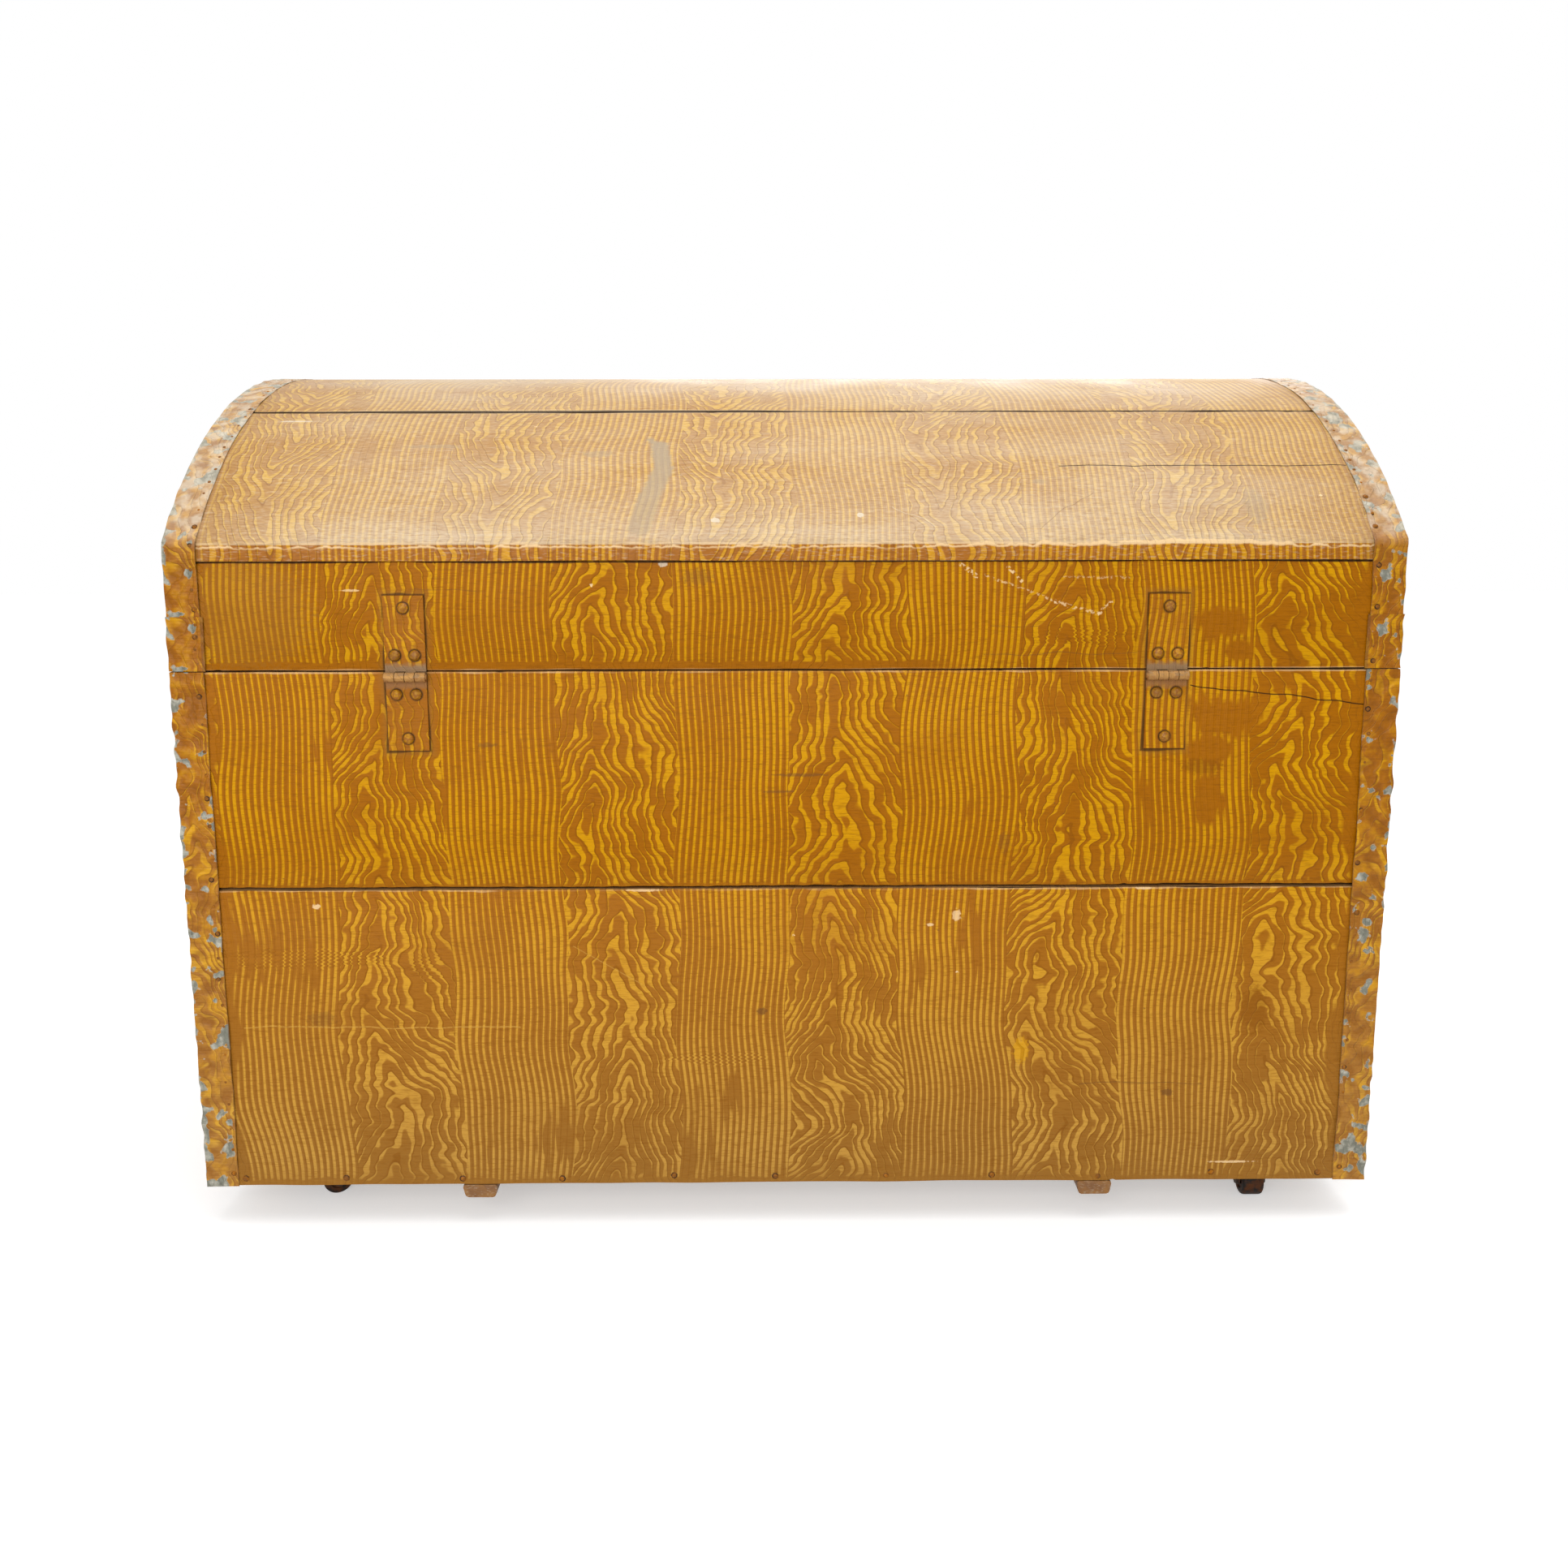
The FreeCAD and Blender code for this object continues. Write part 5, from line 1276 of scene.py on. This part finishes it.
def finishes(context):
    """The trunk's materials, made once."""
    scene = context.scene
    paint, metal, wood = scene.trunk_paint, scene.trunk_metal, scene.trunk_wood
    fasteners = scene.trunk_fasteners
    if "Comb-grained paint on boards" not in bpy.data.materials:
        graining(paint)
        flat_paint("Comb-grained paint on boards", paint, wood)
        flat_paint("Comb-grained paint on end boards", paint, wood, along_y=True)
        dome_paint("Comb-grained paint on dome", paint, wood)
        bare_pine("Aged bare pine", wood)
        batten_finish("Worn painted battens", paint, wood)
        strip_paint("Painted zinc sheet", paint, metal, wood)
        hinge_paint("Painted strap iron", paint, metal, fasteners)
        head_paint("Painted rivet heads", paint, metal, fasteners)
        head_paint("Painted tack heads", paint, metal, fasteners, ringed=True)
        old_iron("Forged iron", metal.iron, metal)
        old_iron("Cast roller iron", linear("#1E1814"), metal, 0.6)
    return bpy.data.materials


class PieceOperator(bpy.types.Operator):
    """Base of the trunk's operators."""
    bl_options = {"REGISTER", "UNDO"}


class TRUNK_OT_walls(PieceOperator):
    """Front, back and end boards of the body, with rubbed and uneven edges"""
    bl_idname = "trunk.walls"
    bl_label = "Body boards"

    def execute(self, context):
        made = finishes(context)
        wood = context.scene.trunk_wood
        flat, ends = made["Comb-grained paint on boards"], made["Comb-grained paint on end boards"]
        walls = [(f"{end}_board", 0, sign, flat, 380) for end, sign in ENDS]
        walls += [(f"{side}_end_board", 1, sign, ends, 220) for side, sign in SIDES]
        for number, (wall, axis, sign, finish, cuts) in enumerate(walls):
            for part in ("lower", "upper"):
                name = f"{wall}_{part}"
                low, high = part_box(name)
                profile = box_profile(low, high, axis)
                # The open joint shows at the outer corner, at the top of the lower board
                opened = [(2 if sign > 0 else 3) if part == "lower" else (1 if sign > 0 else 0)]
                seed = number * 60 + len(part) * 30
                bm = worn_board(wood, profile, axis, low[axis], high[axis], cuts, seed, 0.8 * MM, opened)
                make_piece(f"{name}_worn", bm, finish, "trunk_body", [name])
        bottoms = ["bottom_board_front", "bottom_board_middle", "bottom_board_rear"]
        finish_nodes(bottoms, made["Aged bare pine"])
        return {"FINISHED"}


class TRUNK_OT_lid(PieceOperator):
    """Rails and ends of the lid"""
    bl_idname = "trunk.lid"
    bl_label = "Lid rails and ends"

    def execute(self, context):
        made = finishes(context)
        wood = context.scene.trunk_wood
        for number, (end, sign) in enumerate(ENDS):
            name = f"lid_{end}_rail"
            low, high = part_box(name)
            inner, outer = sign * (HALF_DEPTH - WALL), sign * HALF_DEPTH
            profile = [(inner, low.z), (outer, low.z), (outer, RAIL_TOP), (inner, high.z)]
            bm = worn_board(wood, profile, 0, low.x, high.x, 380, 500 + number * 40, 0.7 * MM, (2,))
            finish = made["Comb-grained paint on boards"]
            make_piece(f"{name}_worn", bm, finish, "lid", [name])
        finish_nodes(["lid_end_left", "lid_end_right"], made["Comb-grained paint on end boards"])
        return {"FINISHED"}


class TRUNK_OT_dome(PieceOperator):
    """Four bent boards over the dome, their outer edges splintered"""
    bl_idname = "trunk.dome"
    bl_label = "Dome boards"

    def execute(self, context):
        made = finishes(context)
        wood = context.scene.trunk_wood
        radius, centre = dome_circle(wood)
        thickness = wood.dome_board * MM
        under = radius - thickness
        half_angle = math.asin(HALF_DEPTH / radius)
        gap = BOARD_GAP / radius
        for number in range(4):
            start = -half_angle + number * half_angle / 2 + (gap if number else 0)
            stop = -half_angle + (number + 1) * half_angle / 2 - (gap if number < 3 else 0)
            bm = spin_dome(radius, centre, thickness, start, stop, 22, 250, HALF_WIDTH)
            for sign, last in ((-1, start), (1, stop)):
                edge = Vector((0, math.sin(last), math.cos(last)))
                for back in (0.0015, 0.004):
                    turned = last - sign * back / radius
                    normal = Vector((0, math.cos(turned), -math.sin(turned)))
                    bmesh.ops.bisect_plane(
                        bm, geom=whole(bm), dist=1e-6, plane_co=Vector((0, 0, centre)), plane_no=normal
                    )
                for vert in bm.verts:
                    arm = vert.co - Vector((0, 0, centre))
                    from_edge = abs(math.atan2(arm.y, arm.z) - last) * radius
                    outer = math.hypot(arm.y, arm.z) > radius - 0.001
                    sawn = number == (3 if sign > 0 else 0)
                    if sawn and from_edge < 1e-5 and not outer:
                        lifted = 0.0008 + 0.0005 * waver(vert.co.x, sign + 30, 0.16)
                        vert.co.y = sign * HALF_DEPTH
                        vert.co.z = centre + math.sqrt(under ** 2 - HALF_DEPTH ** 2) + max(0.0002, lifted)
                    elif from_edge < EDGE_BAND and outer:
                        wear_edge(vert, edge, from_edge, number * 4 + sign, sawn)
            name = f"dome_board_{number + 1}"
            finish = made["Comb-grained paint on dome"]
            make_piece(f"{name}_worn", bm, finish, "lid", [name], crease=28)
        return {"FINISHED"}


def wear_edge(vert, edge, from_edge, seed, sawn):
    """Pull a dome board's edge in: a small rounding at a joint, chips and splinters at a sawn edge."""
    run = vert.co.x
    share = 1 - from_edge / EDGE_BAND
    rubbed = 0.0004 + 0.0003 * waver(run, seed, 0.05) + 0.0009 * chip(run, seed + 2, 0.012, 0.4)
    if not sawn and edge.y > 0.3 and run > 0.1:
        rubbed += 0.0009 * min(1.0, (run - 0.1) / 0.1)
    if sawn:
        rubbed = 0.0008 + 0.0005 * waver(run, seed, 0.05) + 0.0005 * waver(run, seed + 9, 0.007)
        rubbed += 0.0022 * chip(run, seed, 0.02, 0.3)
    across = Vector((0, edge.z, -edge.y))
    vert.co -= edge * max(0.0002, rubbed) * share
    if sawn:
        vert.co -= across * math.copysign(max(0.0, rubbed - 0.0008), vert.co.y) * share * 0.6


class TRUNK_OT_battens(PieceOperator):
    """Battens under the bottom, tapered and rubbed"""
    bl_idname = "trunk.battens"
    bl_label = "Battens"

    def execute(self, context):
        made = finishes(context)
        wood = context.scene.trunk_wood
        for number, (side, _) in enumerate(SIDES):
            name = f"batten_{side}"
            low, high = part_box(name)
            taper = 2 * MM
            profile = [
                (low.x + taper, low.z), (high.x - taper, low.z), (high.x, high.z), (low.x, high.z),
            ]
            seed = 700 + number * 40
            bm = worn_board(wood, profile, 1, low.y, high.y, 160, seed, 0.3 * MM, (0, 1), 2.6 * MM)
            finish = made["Worn painted battens"]
            make_piece(f"{name}_worn", bm, finish, "trunk_body", [name])
        return {"FINISHED"}


class TRUNK_OT_strips(PieceOperator):
    """Sheet strips over the corners and the dome's ends, buckled and unevenly cut"""
    bl_idname = "trunk.strips"
    bl_label = "Sheet strips"

    def execute(self, context):
        made = finishes(context)
        metal = context.scene.trunk_metal
        wood = context.scene.trunk_wood
        material = made["Painted zinc sheet"]
        seed = 0
        for end, sign_y in ENDS:
            for side, sign_x in SIDES:
                seed += 3
                place = corner_place(sign_x, sign_y, BOARD_BOTTOM)
                bm = sheet_strip(STRIP_WIDTH, BODY_TOP - BOARD_BOTTOM, SHEET_GRID, place, seed, metal)
                name = f"corner_strip_{end}_{side}"
                make_piece(f"{name}_buckled", bm, material, "trunk_body", [name])
                place = corner_place(sign_x, sign_y, LID_BOTTOM)
                reach = STRIP_WIDTH + 2 * MM
                bm = sheet_strip(reach, TAB_FOOT - LID_BOTTOM, SHEET_GRID, place, seed + 1, metal)
                piece = make_piece(f"lid_corner_strip_{end}_{side}", bm, material, "lid")
                if seed == 3:
                    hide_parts("lid_corner_strips")
        radius, centre = dome_circle(wood)
        for side, sign_x in SIDES:
            place, tab, arc = dome_place(sign_x, radius, centre, wood.dome_edge * MM)
            snips = [tab + arc * (i + 0.5) / SNIPS for i in range(SNIPS)]
            bm = sheet_strip(STRIP_WIDTH, 2 * tab + arc, 3 * MM, place, 40 + sign_x, metal, snips)
            name = f"dome_strip_{side}"
            make_piece(f"{name}_buckled", bm, material, "lid", [name])
        return {"FINISHED"}


class TRUNK_OT_hinges(PieceOperator):
    """Strap hinges, pins and rivets"""
    bl_idname = "trunk.hinges"
    bl_label = "Strap hinges"

    def execute(self, context):
        made = finishes(context)
        leaves = [f"hinge_{part}_leaf_{side}" for part in ("lid", "body") for side, _ in SIDES]
        finish_nodes(leaves, made["Painted strap iron"])
        finish_nodes(["hinge_pin_left", "hinge_pin_right"], made["Painted strap iron"])
        finish_nodes(["hinge_rivets_lid", "hinge_rivets_body"], made["Painted rivet heads"])
        return {"FINISHED"}


class TRUNK_OT_fasteners(PieceOperator):
    """Tacks in the strips and nails along the bottom"""
    bl_idname = "trunk.fasteners"
    bl_label = "Tacks and nails"

    def execute(self, context):
        made = finishes(context)
        sizes = context.scene.trunk_fasteners
        wood = context.scene.trunk_wood
        chance = random.Random(4)
        tack_head = turned_head(sizes.tack / 2 * MM, sizes.tack_height * MM, 9, 2)
        tack = template_of(add_skirt(tack_head, *TACK_SKIRT), "tack_shape")
        inset = STRIP_WIDTH - sizes.tack_inset * MM
        body_spots = []
        lid_spots = []
        for _, sign_y in ENDS:
            for _, sign_x in SIDES:
                upright = (
                    (body_spots, BOARD_BOTTOM, BODY_TOP, sizes.tack_pitch * MM, 0.012),
                    (lid_spots, LID_BOTTOM, TAB_FOOT, 0.011, 0.006),
                )
                place = corner_place(sign_x, sign_y, 0)
                for spots, low, high, pitch, start in upright:
                    for side, normal in ((inset, (0, sign_y, 0)), (-inset, (sign_x, 0, 0))):
                        for height in spaced(low + start, high - TACK_CLEAR, pitch, 0.15, chance):
                            stray = chance.uniform(-1.2, 1.2) * MM
                            here = place(side + stray, height, TACK_LIFT)
                            spots.append((here, normal, chance.uniform(0, 3)))
        radius, centre = dome_circle(wood)
        for _, sign_x in SIDES:
            place, tab, arc = dome_place(sign_x, radius, centre, wood.dome_edge * MM)
            for side in (inset, -inset):
                pitch = sizes.lid_tack_pitch * MM
                for along in spaced(0.006, 2 * tab + arc - TACK_CLEAR, pitch, 0.2, chance):
                    here = place(side + chance.uniform(-1, 1) * MM, along, DOME_TACK_LIFT)
                    normal = Vector((sign_x, 0, 0))
                    if side > 0:
                        angle = (tab + arc / 2 - along) / radius
                        normal = Vector((0, math.sin(angle), math.cos(angle)))
                        if abs(angle) > arc / 2 / radius:
                            normal = Vector((0, math.copysign(1, angle), 0))
                        here -= normal * DOME_TACK_LIFT * max(0.0, normal.z) ** 6
                    lid_spots.append((here, normal, chance.uniform(0, 3)))
        nail_head = turned_head(sizes.nail / 2 * MM, NAIL_HEIGHT, 7, 2)
        nail = template_of(add_skirt(nail_head, *NAIL_SKIRT), "nail_shape")
        nail_spots = []
        for axis, ends, reach, face in ((0, ENDS, 0.46, HALF_DEPTH), (1, SIDES, 0.27, HALF_WIDTH)):
            for _, sign in ends:
                normal = Vector((0, 0, 0))
                normal[1 - axis] = sign
                for run in spaced(-reach, reach + 0.01, sizes.nail_pitch * MM, 0.12, chance):
                    here = normal * face
                    here[axis] = run
                    here.z = BOARD_BOTTOM + chance.uniform(0.004, 0.008)
                    nail_spots.append((here, normal, chance.uniform(0, 1)))
        heads = (
            ("tacks_body", tack, body_spots, "trunk_body"), ("tacks_lid", tack, lid_spots, "lid"),
            ("bottom_nails", nail, nail_spots, "trunk_body"),
        )
        add_heads(heads, made["Painted tack heads"], 60)
        return {"FINISHED"}


class TRUNK_OT_hardware(PieceOperator):
    """Lock, keyhole plate, handles and castors, with their screws"""
    bl_idname = "trunk.hardware"
    bl_label = "Iron hardware"

    def execute(self, context):
        made = finishes(context)
        iron = [name for name in NODES if name.startswith(("castor_plate", "castor_fork", "castor_axle"))]
        iron += ["lock_case", "lock_bolt", "lock_keeper", "keyhole_escutcheon"]
        iron += [f"handle_{part}_{side}" for part in ("bail", "eyes") for side, _ in SIDES]
        finish_nodes(iron, made["Forged iron"])
        for joint in frame["joints"]:
            if joint["name"].startswith("wheel_"):
                wheel = joint["child"]
                self.make_roller(made, f"castor_{wheel}", wheel, joint)
        screw = template_of(self.slotted_head(), "screw_shape")
        pin = template_of(turned_head(*PIN_HEAD, 12, 3), "pin_shape")
        chance = random.Random(8)
        spots = []
        low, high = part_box("handle_eyes_right")
        rows = [(low.z + high.z) / 2 + side * EYE_SCREW_Z for side in (-1, 1)]
        for _, sign in SIDES:
            face = sign * (HALF_WIDTH + PLATE)
            spots += studs([face], (-EYE_SCREW_Y, EYE_SCREW_Y), rows, (sign, 0, 0), chance)
        for end, _ in ENDS:
            for side, _ in SIDES:
                low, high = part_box(f"castor_plate_{end}_{side}")
                xs, ys = inset_ends(low.x, high.x, 7), inset_ends(low.y, high.y, 7)
                spots += studs(xs, ys, [BOARD_BOTTOM - PLATE], (0, 0, -1), chance)
        low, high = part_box("lock_case")
        xs, zs = inset_ends(low.x, high.x, 6), inset_ends(low.z, high.z, 6)
        spots += studs(xs, [high.y], zs, (0, 1, 0), chance)
        low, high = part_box("lock_keeper")
        keeper = inset_ends(low.x, high.x, 6), [PLATE + WALL - HALF_DEPTH], [high.z - 8 * MM]
        lid_spots = studs(*keeper, (0, 1, 0), chance)
        low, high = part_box("keyhole_escutcheon")
        pins = studs([0], [low.y + PIN_SINK], inset_ends(low.z, high.z, 5), (0, -1, 0), chance)
        heads = (
            ("plate_screws", screw, spots, "trunk_body"), ("keeper_screws", screw, lid_spots, "lid"),
            ("escutcheon_pins", pin, pins, "trunk_body"),
        )
        add_heads(heads, made["Forged iron"], 30)
        return {"FINISHED"}

    def make_roller(self, made, node, body, joint):
        """A cast roller with a rounded tread, turned about its joint's axis."""
        low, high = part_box(node)
        middle = (low + high) / 2
        axis = Vector(joint["axis"])
        radius = (high.z - low.z) / 2
        reach = (high - low).xy
        # The box of a turned roller is wider than the roller: solve for its half length
        half = (reach.x / 2 - radius * abs(axis.y)) / max(abs(axis.x), 1e-3)
        if abs(axis.x) < abs(axis.y):
            half = (reach.y / 2 - radius * abs(axis.x)) / abs(axis.y)
        hub = half * 0.88
        side = [(ROLLER_BORE, hub), (radius * 0.55, hub), (radius * 0.62, half), (radius, half)]
        outline = side + [(r, -z) for r, z in reversed(side)]
        bm = spin_outline(outline, 48, closed=True)
        treads = [
            e for e in bm.edges
            if e.calc_face_angle(0) > 1 and all(math.hypot(v.co.x, v.co.y) > radius * 0.9 for v in e.verts)
        ]
        bmesh.ops.bevel(
            bm, geom=treads, offset=half * 0.3, segments=4, profile=0.5, affect="EDGES", material=-1,
        )
        turn = axis.to_track_quat("Z", "Y").to_matrix().to_4x4()
        bmesh.ops.transform(bm, matrix=Matrix.Translation(middle) @ turn, verts=bm.verts)
        make_piece(f"{node}_rounded", bm, made["Cast roller iron"], body, [node])

    def slotted_head(self):
        """A low screw head with a slot cut across it."""
        bm = turned_head(*SCREW_HEAD, 16, 3)
        for side in (-1, 1):
            bmesh.ops.bisect_plane(
                bm, geom=whole(bm), dist=1e-7, plane_co=(side * SLOT / 2, 0, 0), plane_no=(1, 0, 0)
            )
        slot = [
            face for face in bm.faces
            if abs(face.calc_center_median().x) < SLOT * 0.4 and face.normal.z > 0.1
        ]
        made = bmesh.ops.extrude_face_region(bm, geom=slot)["geom"]
        for vert in verts_in(made):
            vert.co.z = min(vert.co.z, SLOT_FLOOR)
        bmesh.ops.recalc_face_normals(bm, faces=bm.faces)
        return bm


class TRUNK_OT_stage(PieceOperator):
    """Pale floor, soft light and the camera"""
    bl_idname = "trunk.stage"
    bl_label = "Stage"

    def execute(self, context):
        scene = context.scene
        stage = scene.trunk_stage
        scene.view_settings.view_transform = "Standard"
        camera = bpy.data.objects.new("camera", bpy.data.cameras.new("camera"))
        camera.data.sensor_width = 36
        camera.data.lens = stage.lens
        camera.data.shift_y = stage.shift
        camera.data.clip_start = 0.01
        scene.collection.objects.link(camera)
        yaw, pitch, roll = (math.radians(a) for a in (stage.yaw, stage.pitch, stage.roll))
        level_reach = math.cos(pitch)
        forward = Vector((math.sin(yaw) * level_reach, -math.cos(yaw) * level_reach, -math.sin(pitch)))
        turn = forward.to_track_quat("-Z", "Y").to_matrix() @ Matrix.Rotation(roll, 3, "Z")
        spot = Vector((stage.camera_x, stage.camera_y, stage.camera_z)) * MM
        camera.matrix_world = Matrix.Translation(spot) @ turn.to_4x4()
        scene.camera = camera
        world = bpy.data.worlds.new("soft studio")
        scene.world = world
        world.use_nodes = True
        world.node_tree.nodes.clear()
        node = partial(add_node, world.node_tree)
        light = node(RANGE, seen_directly(node), 0.0, 1.0, stage.world_light, 1.0)
        node("ShaderNodeOutputWorld", node("ShaderNodeBackground", (1, 1, 1, 1), light), take=None)
        for name, power, share, place, width in LAMPS:
            lamp = bpy.data.lights.new(name, "AREA")
            lamp.shape = "SQUARE"
            lamp.size = width
            lamp.energy = getattr(stage, power) * share
            holder = bpy.data.objects.new(name, lamp)
            holder.location = place
            holder.rotation_euler = (LAMPS_AIM - Vector(place)).to_track_quat("-Z", "Y").to_euler()
            scene.collection.objects.link(holder)
        bm = bmesh.new()
        bmesh.ops.create_grid(bm, x_segments=4, y_segments=4, size=6)
        mesh = template_of(bm, "floor")
        floor = bpy.data.objects.new("floor", mesh)
        scene.collection.objects.link(floor)
        self.floor_finish()
        mesh.materials.append(bpy.data.materials["White paper sweep"])
        return {"FINISHED"}

    def floor_finish(self):
        """Seamless white paper, lit a little from within for the camera so that it reads as white."""
        node, place, *_ = new_material("White paper sweep")
        fibres = mottle(node, place, 3, 3, 2.0)
        away = node(VECTOR, place, operation="LENGTH", take=1)
        far = node(RANGE, away, 900.0, 2400.0, **SMOOTH)
        paper = node(RANGE, fibres, 0.3, 0.7, 0.72, 0.74)
        shade = node(MIX, far, None, paper, 0.0)
        lit = node(MIX, far, None, 0.40, 1.0)
        glow = node("MULTIPLY", seen_directly(node), lit)
        set_surface(
            node, Base_Color=shade, Roughness=0.9, Specular_IOR_Level=0.1,
            Emission_Color=(1, 1, 1, 1), Emission_Strength=glow,
        )


OPERATORS = (
    TRUNK_OT_stage, TRUNK_OT_walls, TRUNK_OT_lid, TRUNK_OT_dome, TRUNK_OT_battens, TRUNK_OT_strips,
    TRUNK_OT_hinges, TRUNK_OT_fasteners, TRUNK_OT_hardware,
)


class TRUNK_PT_sidebar(bpy.types.Panel):
    """The trunk's sizes, colours and pieces"""
    bl_label = "Dome top trunk"
    bl_space_type = "VIEW_3D"
    bl_region_type = "UI"
    bl_category = "Trunk"

    def draw(self, context):
        for name, group in SETTINGS.items():
            box = self.layout.box()
            for key in group.__annotations__:
                box.prop(getattr(context.scene, name), key)
        for operator in OPERATORS:
            self.layout.operator(operator.bl_idname)


CLASSES = (*SETTINGS.values(), *OPERATORS, TRUNK_PT_sidebar)


def register():
    for cls in CLASSES:
        bpy.utils.register_class(cls)
    for name, group in SETTINGS.items():
        setattr(bpy.types.Scene, name, PointerProperty(type=group))


def unregister():
    for name in SETTINGS:
        delattr(bpy.types.Scene, name)
    for cls in reversed(CLASSES):
        bpy.utils.unregister_class(cls)


def main():
    register()
    for operator in OPERATORS:
        area, name = operator.bl_idname.split(".")
        getattr(getattr(bpy.ops, area), name)()


if __name__ == "__main__":
    main()
